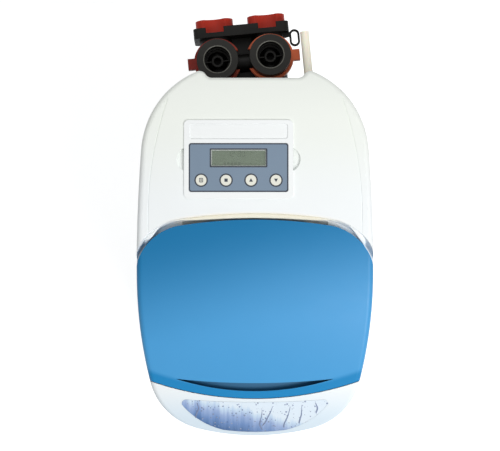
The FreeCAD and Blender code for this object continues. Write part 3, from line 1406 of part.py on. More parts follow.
def make_panel():
    """Control panel: bezel, fascia, display, buttons, board, switches and back."""
    half_x, half_y = s.bezel_width / 2, s.bezel_depth / 2
    rim = rounded((-half_x, half_x), (-half_y, half_y), s.bezel_corner)
    flange = plate("bezel_top", rim, (0, s.bezel_up))
    in_x, in_y = half_x - s.bezel_edge, half_y - s.bezel_edge
    corner = s.bezel_corner - s.bezel_wall
    skirt_rim = rounded((-in_x, in_x), (-in_y, in_y), corner)
    skirt = plate("bezel_skirt", skirt_rim, (-s.bezel_skirt, s.bezel_up / 2))
    room_x, room_y = in_x - s.bezel_wall, in_y - s.bezel_wall
    room = block("bezel_room", (-room_x, room_x), (-room_y, room_y),
                 (-s.bezel_skirt - PAST, -s.bezel_plate))
    blank_half = s.blank_width / 2
    blank_rim = rounded((-blank_half, blank_half), (s.blank_front, s.blank_back), s.fascia_corner)
    blank = plate("blank", blank_rim, (s.bezel_up - s.blank_sink, s.bezel_up + PAST))
    bed_z = s.bezel_up - s.fascia_sink - s.fascia_thick
    fascia_half = s.fascia_width / 2
    bed = plate("fascia_bed", rounded((-fascia_half, fascia_half), (s.fascia_front, s.fascia_back),
                                      s.fascia_corner), (bed_z, s.bezel_up + PAST))
    show_half = s.display_width / 2 - s.display_edge
    show = block("display_way", (-show_half, show_half),
                 (s.display_front + s.display_edge, s.display_back - s.display_edge), (-WIDE, WIDE))
    places = [s.button_pitch * (index - 1.5) for index in range(4)]
    cup_r = s.button_radius + s.running_gap
    cups, ways = [], []
    for index, x in enumerate(places):
        at = (x, s.button_y)
        cups.append(rod("cup%d" % index, "Z", at, (s.button_web - s.bezel_plate, WIDE), cup_r))
        ways.append(rod("way%d" % index, "Z", at, (-WIDE, WIDE), s.button_stem + s.pin_gap))
    posts = []
    board_top = -s.bezel_plate - s.display_deep
    post_span = (board_top, -s.bezel_plate / 2)
    corners = ((-1, s.post_front), (1, s.post_front), (-1, s.post_back), (1, s.post_back))
    for index, (side, y) in enumerate(corners):
        posts.append(rod("post%d" % index, "Z", (s.post_x * side, y), post_span, s.post_radius))
    frame = cut("bezel_shell", fuse("bezel_solid", flange, skirt), room)
    frame = fuse("bezel_posts", frame, *posts)
    part("panel_bezel", in_panel(cut("bezel", frame, blank, bed, show, *cups, *ways)))

    g = s.fit_gap
    top = s.bezel_up - s.fascia_sink
    front_rim = rounded((g - fascia_half, fascia_half - g), (s.fascia_front + g, s.fascia_back - g),
                        s.fascia_corner - g)
    front = plate("fascia_plate", front_rim, (bed_z, top))
    lens_half = s.display_width / 2
    cut_span = (bed_z - PAST, top + PAST)
    hole = plate("lens_hole", rounded((-lens_half, lens_half), (s.display_front, s.display_back),
                                      s.display_corner), cut_span)
    holes = [rod("cap_hole%d" % i, "Z", (x, s.button_y), cut_span, cup_r) for i, x in enumerate(places)]
    part("panel_fascia", in_panel(cut("fascia", front, hole, *holes)))
    lens = plate("lens", rounded((g - lens_half, lens_half - g), (s.display_front + g, s.display_back - g),
                                 s.display_corner - g), (bed_z, top))
    part("lcd_lens", in_panel(lens))
    module = block("lcd", (g - lens_half, lens_half - g), (s.display_front + g, s.display_back - g),
                   (board_top, -s.bezel_plate))
    part("lcd_module", in_panel(module))
    foot_top = -s.bezel_plate - s.running_gap
    foot_low = foot_top - s.button_foot_thick
    for x, index, name in zip(places, range(4), ("menu", "stop", "up", "down")):
        at = (x, s.button_y)
        cap_low = s.button_web - s.bezel_plate + s.button_travel + s.running_gap
        cap = rod("cap%d" % index, "Z", at, (cap_low, top + s.button_up), s.button_radius)
        stem = rod("stem%d" % index, "Z", at, (foot_low, cap_low + s.button_up), s.button_stem)
        foot = rod("foot%d" % index, "Z", at, (foot_low, foot_top), s.button_foot)
        part("button_" + name, in_panel(fuse("key%d" % index, cap, stem, foot)))
    half = s.board_width / 2
    board_span = (board_top - s.board_thick, board_top)
    board = block("board", (-half, half), (s.board_front, s.board_back), board_span)
    switches = []
    for index, x in enumerate(places):
        side = s.switch_side / 2
        body_top = board_top + s.switch_body
        wide, long = (x - side, x + side), (s.button_y - side, s.button_y + side)
        switches.append(block("switch%d" % index, wide, long, (board_top, body_top)))
    part("display_board", in_panel(fuse("board_switches", board, *switches)))
    back = plate("back_plate", rounded((-in_x, in_x), (-in_y, in_y), corner),
                 (-s.bezel_skirt - s.back_thick, -s.bezel_skirt))
    part("pod_back_cover", in_panel(back))


def make_tank():
    """Pressure tank with its boot, riser, strainers and resin."""
    wall, foot, top = s.tank_wall, s.tank_foot, s.tank_top
    wide, flat = s.tank_radius, s.tank_flat
    low, neck_low = foot + s.tank_low, top - s.tank_neck_high
    high = neck_low - s.tank_high
    tank = turned("tank", [
        (0, foot),
        (flat, foot),
        (wide, low, s.tank_low_round),
        (wide, high),
        (s.tank_neck, neck_low, s.tank_high_round),
        (s.tank_neck, top),
        (s.tank_mouth, top),
        (s.tank_mouth, neck_low - wall),
        (wide - wall, high, -s.tank_high_round + wall),
        (wide - wall, low),
        (flat, foot + wall, wall - s.tank_low_round),
        (0, foot + wall),
    ])
    part("resin_tank", in_valve(tank))
    floor = s.cabinet_floor
    cup = rod("boot_cup", "Z", (0, s.tank_y), (floor, floor + s.boot_height), wide + s.boot_wall)
    room = rod("boot_room", "Z", (0, s.tank_y), (foot, floor + s.boot_height + PAST), wide)
    part("tank_boot", cut("boot", cup, room))
    bed_low = low + s.resin_rise
    bed = tube("resin", "Z", (0, s.tank_y), (bed_low, s.resin_top), wide - wall, s.riser_radius)
    part("resin_bed", bed)
    at = (0, s.tank_y)
    part("riser_tube", tube("riser", "Z", at, (s.riser_foot, s.riser_top), s.riser_radius, s.riser_bore))
    basket = rod("basket", "Z", at, (foot + wall, low), s.strainer_radius)
    socket = rod("basket_socket", "Z", at, (s.riser_foot, bed_low), s.riser_radius)
    inside = rod("basket_room", "Z", at, (foot + wall * 2, s.riser_foot + PAST), s.riser_bore)
    part("bottom_strainer", cut("low_strainer", basket, socket, inside))
    plug_low = top - s.plug_deep
    part("top_strainer", tube("high_strainer", "Z", at, (plug_low - s.strainer_high, plug_low),
                              s.strainer_radius, s.riser_radius))


def make_valve():
    """Control valve: body, piston, seals, drive and side fittings."""
    top, foot_top = s.tank_top, s.tank_top + s.flange_thick
    plug_low = top - s.plug_deep
    axis = (0, s.bore_z)
    x = s.port_x
    solids = [
        rod("valve_flange", "Z", (0, 0), (top, foot_top), s.flange_radius),
        rod("valve_plug", "Z", (0, 0), (plug_low, top + PAST), s.plug_radius),
        tube("valve_skirt", "Z", (0, 0), (plug_low + PAST, top + PAST), s.flange_radius, s.skirt_bore),
        rod("valve_column", "Z", (0, 0), (foot_top - PAST, s.port_z), s.plug_radius),
        rod("valve_housing", "Y", axis, (s.housing_front, s.housing_back), s.housing_radius),
        block("valve_block", (-x, x), (s.port_start, s.body_back),
              (s.port_z - s.body_half_height, s.port_z + s.body_half_height)),
        rod("port_left", "Y", (-x, s.port_z), (s.port_start, s.port_end), s.port_radius),
        rod("port_right", "Y", (x, s.port_z), (s.port_start, s.port_end), s.port_radius),
        rod("drain_boss", "X", (s.drain_y, s.drain_z), (0, s.drain_boss), s.drain_boss_radius),
        rod("brine_boss", "X", (s.brine_y, s.port_z), (s.brine_boss, 0), s.brine_boss_radius),
        rod("injector_boss", "X", (s.injector_y, s.port_z), (0, s.injector_end), s.injector_housing),
    ]
    bores = [
        rod("riser_bore", "Z", (0, 0), (plug_low - PAST, s.riser_top + s.riser_room), s.riser_radius),
        rod("piston_bore", "Y", axis, (s.housing_front - PAST, s.bore_back), s.bore_radius),
        rod("left_bore", "Y", (-x, s.port_z), (0, s.port_end + PAST), s.port_bore),
        rod("right_bore", "Y", (x, s.port_z), (0, s.port_end + PAST), s.port_bore),
        rod("cross_bore", "X", (s.drain_y, s.bore_z - s.seal_bore), (-x, x), s.port_bore / 2),
        rod("drain_bore", "X", (s.drain_y, s.drain_z), (s.seal_bore, s.drain_boss + PAST), s.drain_bore),
        rod("brine_bore", "X", (s.brine_y, s.port_z), (s.brine_boss - PAST, -s.bore_radius), s.brine_bore),
        rod("injector_seat", "X", (s.injector_y, s.port_z), (s.injector_start, s.injector_end + PAST),
            s.injector_radius),
    ]
    part("valve_body", in_valve(cut("valve", fuse("valve_solid", *solids), *bores)))
    stack = tube("seals", "Y", axis, (s.housing_front, s.bore_back), s.bore_radius, s.seal_bore)
    half = s.seal_window / 2
    windows = []
    for i in range(4):
        y = s.seal_first + s.seal_pitch * i
        windows.append(block("seal_window%d" % i, (-s.bore_radius - PAST, s.bore_radius + PAST),
                             (y, y + s.seal_window), (s.bore_z - half, s.bore_z + half)))
    part("seal_stack", in_valve(cut("seal_rings", stack, *windows)))
    body = rod("piston_body", "Y", axis, (s.piston_front, s.piston_front + s.piston_long), s.piston_radius)
    stem = rod("piston_stem", "Y", axis, (s.piston_end, s.piston_front + PAST), s.piston_rod)
    waist_front = s.piston_front + s.piston_long / 2 - s.waist_long / 2
    waist = tube("piston_waist", "Y", axis, (waist_front, waist_front + s.waist_long), s.piston_radius + PAST,
                 s.waist_radius)
    part("valve_piston", in_valve(cut("piston", fuse("piston_solid", body, stem), waist)))
    hub_x = s.injector_end
    cap = rod("injector_cap_disc", "X", (s.injector_y, s.port_z), (hub_x, hub_x + s.injector_cap_thick),
              s.injector_housing)
    face = hub_x + s.injector_cap_thick
    slot = block("injector_slot", (face - s.slot_deep, face + PAST),
                 (s.injector_y - s.slot_half, s.injector_y + s.slot_half),
                 (s.port_z - s.slot_half_long, s.port_z + s.slot_half_long))
    part("injector_cap", in_valve(cut("injector_lid", cap, slot)))
    part("injector", in_valve(tube("nozzle", "X", (s.injector_y, s.port_z), (s.injector_start, hub_x),
                                   s.injector_radius, s.injector_hole)))
    make_drive(axis)
    make_fittings()


def make_drive(axis):
    """Drive bracket, gears, axle and motor in front of the valve."""
    back = s.housing_front
    front = back - s.bracket_thick
    wheel_z = s.bore_z + s.gear_module * (s.gear_teeth + s.small_teeth) / 2
    motor_x = s.wheel_module * (s.wheel_teeth + s.small_teeth) / 2
    hole = s.piston_rod + s.rod_gap
    outline = rounded((-s.bracket_half, s.bracket_half), (s.bracket_low, s.bracket_high), s.bracket_corner)
    board = slab_y("bracket_plate", outline, (front, back))
    boss = rod("bracket_boss", "Y", axis, (front - s.boss_length, front + PAST), s.bracket_boss)
    shaft_hole = s.motor_shaft + s.pin_gap
    holes = [
        rod("bracket_hole", "Y", axis, (front - s.boss_length - PAST, back + PAST), hole),
        rod("axle_hole", "Y", (0, wheel_z), (front - PAST, back + PAST), s.axle_radius),
        rod("shaft_hole", "Y", (motor_x, wheel_z), (front - PAST, back + PAST), shaft_hole),
    ]
    part("drive_bracket", in_valve(cut("bracket", fuse("bracket_solid", board, boss), *holes)))
    gear_back = front - s.boss_length - s.running_gap
    gear_front = gear_back - s.gear_width
    main = along(gear("main", s.gear_teeth, s.gear_module, s.gear_width, hole, False), "Y", axis, gear_front)
    hub = tube("main_hub", "Y", axis, (gear_front - s.gear_hub_long, gear_front), s.gear_hub, hole)
    part("main_gear", in_valve(fuse("main_wheel", main, hub)))
    wheel_back = gear_front - s.wheel_space
    wheel_front = wheel_back - s.wheel_width
    at = (0, wheel_z)
    bore = s.axle_radius + s.pin_gap
    small = gear("small", s.small_teeth, s.gear_module, gear_back - wheel_back, bore, True)
    large = gear("large", s.wheel_teeth, s.wheel_module, s.wheel_width, bore, False)
    small, large = along(small, "Y", at, wheel_back), along(large, "Y", at, wheel_front)
    part("reduction_gear", in_valve(fuse("reduction", small, large)))
    axle = rod("axle", "Y", at, (wheel_front - s.axle_past, back), s.axle_radius)
    part("gear_axle", in_valve(axle))
    at = (motor_x, wheel_z)
    teeth = along(gear("drive", s.small_teeth, s.wheel_module, s.wheel_width, s.motor_shaft, True), "Y", at,
                  wheel_front)
    shaft = rod("shaft", "Y", at, (wheel_front, back + s.motor_bore - s.shaft_end), s.motor_shaft)
    part("motor_pinion", in_valve(fuse("pinion", teeth, shaft)))
    can = rod("motor_can", "Y", at, (back, back + s.motor_long), s.motor_radius)
    lug = block("motor_lug", (motor_x, motor_x + s.motor_lug), (back, back + s.motor_lug_thick),
                (wheel_z - s.motor_lug_half, wheel_z + s.motor_lug_half))
    way = rod("motor_way", "Y", at, (back - PAST, back + s.motor_bore), shaft_hole)
    part("drive_motor", in_valve(cut("motor", fuse("motor_solid", can, lug), way)))


def make_fittings():
    """Drain elbow and tube, brine elbow."""
    y, z = s.drain_y, s.drain_z
    way = [(s.drain_boss, y, z), (s.drain_x, y, z), (s.drain_x, y, s.drain_tube_z),
           (s.drain_x, s.drain_socket, s.drain_tube_z)]
    inner = [(s.drain_boss - PAST, y, z)] + way[1:3] + [(s.drain_x, s.drain_socket + PAST, s.drain_tube_z)]
    body = pipe("drain_way", way, s.drain_elbow_radius)
    bore = pipe("drain_hollow", inner, s.drain_bore)
    at = (s.drain_x, s.drain_tube_z)
    socket = rod("drain_seat", "Y", at, (s.drain_start, s.drain_socket + PAST), s.drain_radius)
    part("drain_elbow", in_valve(cut("drain_bend", body, bore, socket)))
    wall = tube("drain_pipe", "Y", at, (s.drain_start, s.drain_end), s.drain_radius, s.drain_bore)
    mark_end = s.drain_end - s.drain_stop
    mark = tube("drain_mark", "Y", at, (mark_end - s.stop_width, mark_end), s.drain_radius + PAST,
                s.drain_radius - s.stop_depth)
    part("drain_tube", in_valve(cut("drain_hose", wall, mark)))
    y, z = s.brine_y, s.port_z
    way = [(s.brine_boss, y, z), (s.brine_x, y, z), (s.brine_x, y, s.brine_elbow_low)]
    body = pipe("brine_way", way, s.brine_elbow_radius)
    inner = [(s.brine_boss + PAST, y, z), (s.brine_x, y, z), (s.brine_x, y, s.brine_elbow_low - PAST)]
    bore = pipe("brine_hollow", inner, s.brine_bore)
    socket = rod("brine_seat", "Z", (s.brine_x, y), (s.brine_elbow_low - PAST, s.line_top), s.line_radius)
    part("brine_elbow", in_valve(cut("brine_bend", body, bore, socket)))


def knob_outline(x):
    """A knob from behind: two lobes and a waist, about a place along X."""
    z = s.rotor_z
    lobe, waist, far, mid = s.knob_lobe, s.knob_waist, s.knob_half, s.knob_lobe_x
    dip, bulge = -s.knob_dip, s.knob_bulge
    return [
        (x, z - waist, dip),
        (x + mid, z - lobe, dip),
        (x + far, z, bulge),
        (x + mid, z + lobe, bulge),
        (x, z + waist, dip),
        (x - mid, z + lobe, dip),
        (x - far, z, bulge),
        (x - mid, z - lobe, bulge),
    ]


def make_bypass():
    """Elbow, bypass with its rotors and knobs, union rings, clips and cable guide."""
    x, low_z, z = s.port_x, s.port_z, s.rotor_z
    start = s.port_end + s.seal_thick
    seal_span = (s.port_end, start)
    seals = [tube("port_seal%d" % side, "Y", (x * side, low_z), seal_span, s.port_radius, s.port_bore)
             for side in (-1, 1)]
    part("elbow_seals", in_valve(fuse("port_seals", *seals)))
    bodies, bores = [], []
    for side in (-1, 1):
        way = [(x * side, start, low_z), (x * side, s.elbow_y, low_z), (x * side, s.elbow_y, z),
               (x * side, s.bypass_front, z)]
        bodies.append(pipe("elbow_way%d" % side, way, s.elbow_radius))
        inner = [(x * side, start - PAST, low_z)] + way[1:3] + [(x * side, s.bypass_front + PAST, z)]
        bores.append(pipe("elbow_bore%d" % side, inner, s.port_bore))
    tie = block("elbow_tie", (-x, x), (s.elbow_y - s.tie_half, s.elbow_y + s.tie_half),
                (low_z + s.port_bore, z - s.port_bore))
    part("port_elbow", in_valve(cut("elbow", fuse("elbow_solid", tie, *bodies), *bores)))

    web_half = s.bypass_web / 2
    web = block("bypass_web", (-x, x), (s.bypass_front, s.bypass_back), (z - web_half, z + web_half))
    solids = [web, rod("bypass_link", "X", (s.union_y, z), (-x, x), s.bypass_link)]
    bores = [rod("bypass_link_bore", "X", (s.union_y, z), (-x, x), s.bypass_link_bore)]
    rotor_r = s.rotor_radius + s.running_gap
    neck_top = s.union_top - s.union_lip
    hub_floor = s.union_top - s.union_deep - s.hub_high
    for side in (-1, 1):
        at, up = (x * side, z), (x * side, s.union_y)
        solids.append(rod("housing%d" % side, "Y", at, (s.bypass_front, s.bypass_back), s.bypass_radius))
        solids.append(rod("neck%d" % side, "Z", up, (z, neck_top), s.union_neck))
        bores.append(rod("rotor_bore%d" % side, "Y", at, (s.rotor_front, s.bypass_back + PAST), rotor_r))
        inlet_span = (s.bypass_front - PAST, s.rotor_front + PAST)
        bores.append(rod("inlet%d" % side, "Y", at, inlet_span, s.port_bore))
        bores.append(rod("through%d" % side, "Z", up, (z, hub_floor + PAST), s.union_through))
        bores.append(rod("hub_room%d" % side, "Z", up, (hub_floor, neck_top), s.hub_seat))
        mouth_span = (s.union_top - s.union_deep, neck_top + PAST)
        bores.append(rod("mouth%d" % side, "Z", up, mouth_span, s.union_bore))
    part("bypass_body", in_valve(cut("bypass", fuse("bypass_solid", *solids), *bores)))
    outline = rounded((-s.plate_half, s.plate_half), (z - s.plate_half_high, z + s.plate_half_high),
                      s.plate_corner)
    plate_end = s.bypass_back + s.plate_deep
    board = slab_y("rear_plate_form", outline, (s.bypass_back, plate_end))
    holes = []
    for side in (-1, 1):
        at = (x * side, z)
        holes.append(rod("plate_hole%d" % side, "Y", at, (s.bypass_back - PAST, s.knob_front),
                         s.rotor_shaft + s.pin_gap))
        holes.append(rod("plate_hollow%d" % side, "Y", at, (s.bypass_back + s.plate_thick, plate_end + PAST),
                         s.knob_room))
    part("bypass_plate", in_valve(cut("rear_plate", board, *holes)))
    for side, name in ((-1, "left"), (1, "right")):
        at, up = (x * side, z), (x * side, s.union_y)
        rotor_start = s.rotor_front + s.running_gap
        shaft_end = s.knob_front + s.knob_deep
        core_span = (rotor_start, s.bypass_back - s.running_gap)
        core = rod("rotor_core_" + name, "Y", at, core_span, s.rotor_radius)
        shaft = rod("rotor_shaft_" + name, "Y", at, (s.bypass_back - PAST, shaft_end), s.rotor_shaft)
        ways = [rod("rotor_in_" + name, "Y", at, (rotor_start - PAST, s.union_y), s.rotor_bore),
                rod("rotor_up_" + name, "Z", up, (z, z + s.rotor_radius + PAST), s.rotor_bore)]
        rotor = fuse("rotor_solid_" + name, core, shaft)
        part("bypass_rotor_" + name, in_valve(cut("rotor_" + name, rotor, *ways)))
        grip = slab_y("knob_grip_" + name, knob_outline(x * side), (s.knob_front, s.knob_back))
        hub_start = s.bypass_back + s.plate_thick + s.running_gap
        hub = rod("knob_hub_" + name, "Y", at, (hub_start, s.knob_front + PAST), s.knob_hub)
        hole = rod("knob_hole_" + name, "Y", at, (s.bypass_back, shaft_end), s.rotor_shaft)
        knob = fuse("knob_solid_" + name, grip, hub)
        part("bypass_knob_" + name, in_valve(cut("knob_" + name, knob, hole)))
    clips, hubs = [], []
    for side, name in ((-1, "left"), (1, "right")):
        up = (x * side, s.union_y)
        ring = rod("union_solid_" + name, "Z", up, (s.union_low, s.union_top), s.union_radius)
        neck_seat = rod("union_seat_" + name, "Z", up, (s.union_low - PAST, neck_top), s.union_neck)
        mouth = rod("union_mouth_" + name, "Z", up, (neck_top - PAST, s.union_top + PAST), s.union_bore)
        part("union_ring_" + name, in_valve(cut("union_" + name, ring, neck_seat, mouth)))
        low = s.union_low - s.clip_thick
        ring = tube("clip_ring_" + name, "Z", up, (low, s.union_low), s.clip_radius, s.union_neck)
        gap_x = (0, x) if side > 0 else (-x, 0)
        gap_y = (s.union_y - s.clip_mouth_half, s.union_y + s.clip_mouth_half)
        gap = block("clip_gap_" + name, gap_x, gap_y, (low - PAST, s.union_low + PAST))
        root_x, end_x = x + s.clip_radius - s.clip_root, x + s.clip_tab
        tab_x = (root_x, end_x) if side > 0 else (-end_x, -root_x)
        tab = block("clip_tab_" + name, tab_x, (s.union_y - s.clip_tab_half, s.union_y + s.clip_tab_half),
                    (low, s.union_low))
        clips.append(fuse("clip_" + name, cut("clip_c_" + name, ring, gap), tab))
        floor, high = hub_floor, hub_floor + s.hub_high
        disc = rod("hub_disc_" + name, "Z", up, (floor, high), s.hub_radius)
        spoke = block("spoke_" + name, (x * side - s.hub_seat - PAST, x * side + s.hub_seat + PAST),
                      (s.union_y - s.spoke_half, s.union_y + s.spoke_half), (floor, floor + s.spoke_high))
        room = rod("spoke_room_" + name, "Z", up, (floor, high), s.hub_seat)
        trimmed = common("spokes_" + name, spoke, room)
        hole = rod("hub_way_" + name, "Z", up, (floor - PAST, high + PAST), s.hub_hole)
        hubs.append(cut("hub_" + name, fuse("hub_solid_" + name, disc, trimmed), hole))
    part("locking_clips", in_valve(fuse("clips", *clips)))
    part("flow_straighteners", in_valve(fuse("hubs", *hubs)))
    thin = s.guide_stroke
    span = (s.guide_z, s.guide_z + thin)
    outer, deep, x, y = s.guide_half, s.guide_half_long, s.guide_x, s.guide_y
    loop = plate("guide_outer", rounded((x - outer, x + outer), (y - deep, y + deep), s.guide_corner), span)
    wide, long = outer - thin, deep - thin
    hole = plate("guide_inner", rounded((x - wide, x + wide), (y - long, y + long), s.guide_corner - thin),
                 (s.guide_z - PAST, s.guide_z + thin + PAST))
    lug_y = (s.bypass_back - s.guide_lug_wide, s.bypass_back)
    lug = block("guide_lug", (s.guide_lug, x - wide - PAST), lug_y, span)
    part("cable_guide", in_valve(cut("guide", fuse("guide_solid", loop, lug), hole)))


def make_brine():
    """Brine well with its cap, valve, line and float, and the salt grid."""
    c, n = cosine(s.valve_yaw), sine(s.valve_yaw)
    dy = s.well_y - s.tank_y
    wx, wy = s.well_x * c + dy * n, dy * c - s.well_x * n
    floor = s.cabinet_floor
    line_low = s.stem_top - s.stem_socket
    level = [(wx, wy, s.line_z), (wx, s.brine_y, s.line_z), (s.brine_x, s.brine_y, s.line_z)]
    line = pipe("line", [(wx, wy, line_low)] + level + [(s.brine_x, s.brine_y, s.line_top)], s.line_radius)
    hollow = [(wx, wy, line_low - PAST)] + level + [(s.brine_x, s.brine_y, s.line_top + PAST)]
    bore = pipe("line_bore", hollow, s.line_bore)
    part("brine_line", in_valve(cut("line_tube", line, bore)))
    at = (s.well_x, s.well_y)
    inner = s.well_radius - s.well_wall
    wall = tube("well_tube", "Z", at, (floor, s.well_top), s.well_radius, inner)
    half = s.line_radius + s.line_room
    slot = block("line_slot_box", (wx - half, wx + half), (wy, wy + s.well_radius + WIDE),
                 (s.line_z - half, s.well_top + WIDE))
    slot_span = (s.well_x - s.well_radius - PAST, s.well_x + s.well_radius + PAST)
    slots = [rod("well_slot%d" % i, "X", (s.well_y, s.well_slot_low + s.well_slot_pitch * i), slot_span,
                 s.well_slot) for i in range(3)]
    part("brine_well", cut("well", wall, in_valve(slot), *slots))
    low = s.well_top + s.running_gap
    cap = rod("well_cap_disc", "Z", at, (low, low + s.cap_thick), s.well_radius + s.cap_edge)
    plug = rod("well_cap_plug", "Z", at, (low - s.cap_plug, low + PAST), inner - s.running_gap * 2)
    grip = block("well_cap_grip", (s.well_x - s.cap_handle, s.well_x + s.cap_handle),
                 (s.well_y - s.cap_handle_half, s.well_y + s.cap_handle_half),
                 (low + s.cap_thick - PAST, low + s.cap_thick + s.cap_handle_high))
    part("brine_well_cap", fuse("well_cap", cap, plug, grip))
    foot = rod("valve_foot", "Z", at, (floor, floor + s.foot_high), s.foot_radius)
    stem = rod("valve_stem", "Z", at, (floor, s.stem_top), s.stem_radius)
    socket = rod("valve_socket", "Z", at, (line_low, s.stem_top + PAST), s.line_radius)
    rod_at = (s.well_x + s.float_x, s.well_y)
    arm_low = s.stem_top - s.arm_down
    arm = block("float_arm", (s.well_x, s.well_x + s.float_x + s.arm_half),
                (s.well_y - s.arm_half, s.well_y + s.arm_half), (arm_low, arm_low + s.arm_high))
    rod_hole = rod("float_rod_hole", "Z", rod_at, (arm_low - PAST, s.stem_top), s.float_rod)
    wire = rod("float_wire", "Z", rod_at, (arm_low, s.float_rod_top), s.float_rod)
    rest_z = s.float_z - s.running_gap
    stop = rod("float_stop", "Z", rod_at, (rest_z - s.float_stop, rest_z), s.float_stop)
    wire = fuse("float_guide", wire, stop)
    part("brine_valve", cut("brine_stem", fuse("brine_solid", foot, stem, arm), socket, rod_hole), wire)
    drum = tube("float_drum", "Z", rod_at, (s.float_z, s.float_z + s.float_long), s.float_radius,
                s.float_rod + s.pin_gap)
    part("safety_float", drum)
    grid_low = s.grid_top - s.grid_thick
    through = (grid_low - PAST, s.grid_top + PAST)
    grid_half = shell_half("grid_half", grid_low, s.grid_top, s.grid_inset, s.grid_inset)
    plate_form = mirrored("grid_form", grid_half)
    holes = [
        rod("grid_tank", "Z", (0, s.tank_y), through, s.tank_radius + s.boot_wall + s.grid_gap),
        rod("grid_well", "Z", at, through, s.well_radius + s.grid_gap),
    ]
    for row in range(3):
        for column in range(-4, 5):
            mid = s.grid_pitch * column
            low_y = s.grid_front + s.grid_row * row
            # the brine well stands there
            if row == 2 and column < -1:
                continue
            holes.append(block("grid_slot_%d_%d" % (row, column + 4), (mid - s.grid_slot, mid + s.grid_slot),
                               (low_y, low_y + s.grid_slot_long), through))
    corners = ((-1, s.leg_front), (1, s.leg_front), (-1, s.leg_back), (1, s.leg_back))
    legs = [rod("leg%d" % i, "Z", (s.leg_x * side, y), (floor, grid_low + PAST), s.leg_radius)
            for i, (side, y) in enumerate(corners)]
    part("salt_grid", fuse("grid", cut("grid_plate", plate_form, *holes), *legs))


make_top()
make_cabinet()
make_panel()
make_tank()
make_valve()
make_bypass()
make_brine()
doc.recompute()
bad = []
for obj in doc.Objects:
    if "Invalid" in obj.State or "Error" in obj.State:
        bad.append("%s (%s): %s" % (obj.Label, obj.Name, obj.State))
for obj in parts:
    if obj.Shape.isNull() or not obj.Shape.isValid() or not obj.Shape.Solids:
        bad.append("%s has no valid shape" % obj.Label)
if bad:
    raise RuntimeError("; ".join(bad))
os.makedirs("parts", exist_ok=True)
for obj in parts:
    obj.Shape.exportStep("parts/%s.step" % obj.Label)
print("%d pieces" % len(parts))
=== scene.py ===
"""Looks of a cabinet water softener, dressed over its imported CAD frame.

Lengths in the frame are metres. The control panel is tilted to the front, and the valve with its
bypass is turned a little about the tank, so their details are laid out in millimetres in a frame
of their own and then carried into the object's frame.
"""

import json
import math

import bpy
import numpy as np
from bpy.props import FloatProperty, FloatVectorProperty, IntProperty, PointerProperty
from bpy.types import Operator, Panel, PropertyGroup
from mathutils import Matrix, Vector
from mathutils.bvhtree import BVHTree


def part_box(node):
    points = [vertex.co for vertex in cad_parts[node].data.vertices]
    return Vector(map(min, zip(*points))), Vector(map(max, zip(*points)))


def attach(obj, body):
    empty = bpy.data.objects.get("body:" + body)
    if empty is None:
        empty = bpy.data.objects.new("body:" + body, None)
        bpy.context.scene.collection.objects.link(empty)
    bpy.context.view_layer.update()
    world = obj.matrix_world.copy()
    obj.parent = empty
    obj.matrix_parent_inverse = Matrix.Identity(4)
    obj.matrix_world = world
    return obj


bl_info = {
    "name": "Cabinet water softener",
    "version": (1, 0, 0),
    "blender": (4, 5, 0),
    "location": "3D View > Sidebar > Softener",
    "description": "Dresses the frame of a cabinet water softener with its finishes and small parts",
    "category": "Object",
}

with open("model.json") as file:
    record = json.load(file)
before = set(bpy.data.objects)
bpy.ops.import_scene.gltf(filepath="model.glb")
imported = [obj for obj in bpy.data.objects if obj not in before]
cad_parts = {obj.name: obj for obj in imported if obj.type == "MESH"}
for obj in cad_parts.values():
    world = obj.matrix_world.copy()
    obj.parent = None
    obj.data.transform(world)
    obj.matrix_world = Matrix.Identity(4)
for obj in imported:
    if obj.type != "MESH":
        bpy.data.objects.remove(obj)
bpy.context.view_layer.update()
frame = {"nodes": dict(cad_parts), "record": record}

MM = 0.001
PANEL_TILT = math.radians(3.0)
PANEL_PLACE = (-22.4, 130.7, 664.67)
VALVE_YAW = math.radians(5.4)
VALVE_PLACE = (0.0, 122.0, 0.0)
# arcs of the lid and of its finger groove seen from above, as in the CAD, in millimetres: the
# centre's place along Y, which is the arc's own place less or plus its radius, and the radius
LID_REAR_ARC = (48.6 - 656.0, 656.0)
LID_FRONT_ARC = (-199.0 + 431.0, 431.0)
GRIP_REAR_ARC = (-177.0 + 981.0, 981.0)
GRIP_FRONT_ARC = (-188.6 + 353.0, 353.0)
# the ports in the valve's frame: their two places across, their place to the rear, and their bore
PORT_X = 38.1
PORT_Y = 165.0
PORT_BORE = 19.0
# what stands on the panel starts this far below its face, in millimetres, so that it has no gap
SUNK = 0.05
BUTTONS = ("menu", "stop", "up", "down")
DOWN = Vector((0, 0, -1))


def srgb(text):
    """Linear colour of an sRGB hex value: the power curve of the sRGB standard on each channel."""
    channels = [int(text[i:i + 2], 16) / 255 for i in (1, 3, 5)]
    return tuple(c / 12.92 if c <= 0.04045 else ((c + 0.055) / 1.055) ** 2.4 for c in channels)


def colour_setting(name, description, text):
    """A colour property whose default is an sRGB hex value."""
    return FloatVectorProperty(name=name, description=description, default=srgb(text),
                               subtype="COLOR", size=3, min=0.0, max=1.0)


def length_setting(name, description, millimetres):
    """A length property, given in millimetres and kept in metres."""
    return FloatProperty(name=name, description=description, default=millimetres * MM,
                         unit="LENGTH", min=0.0, precision=5)


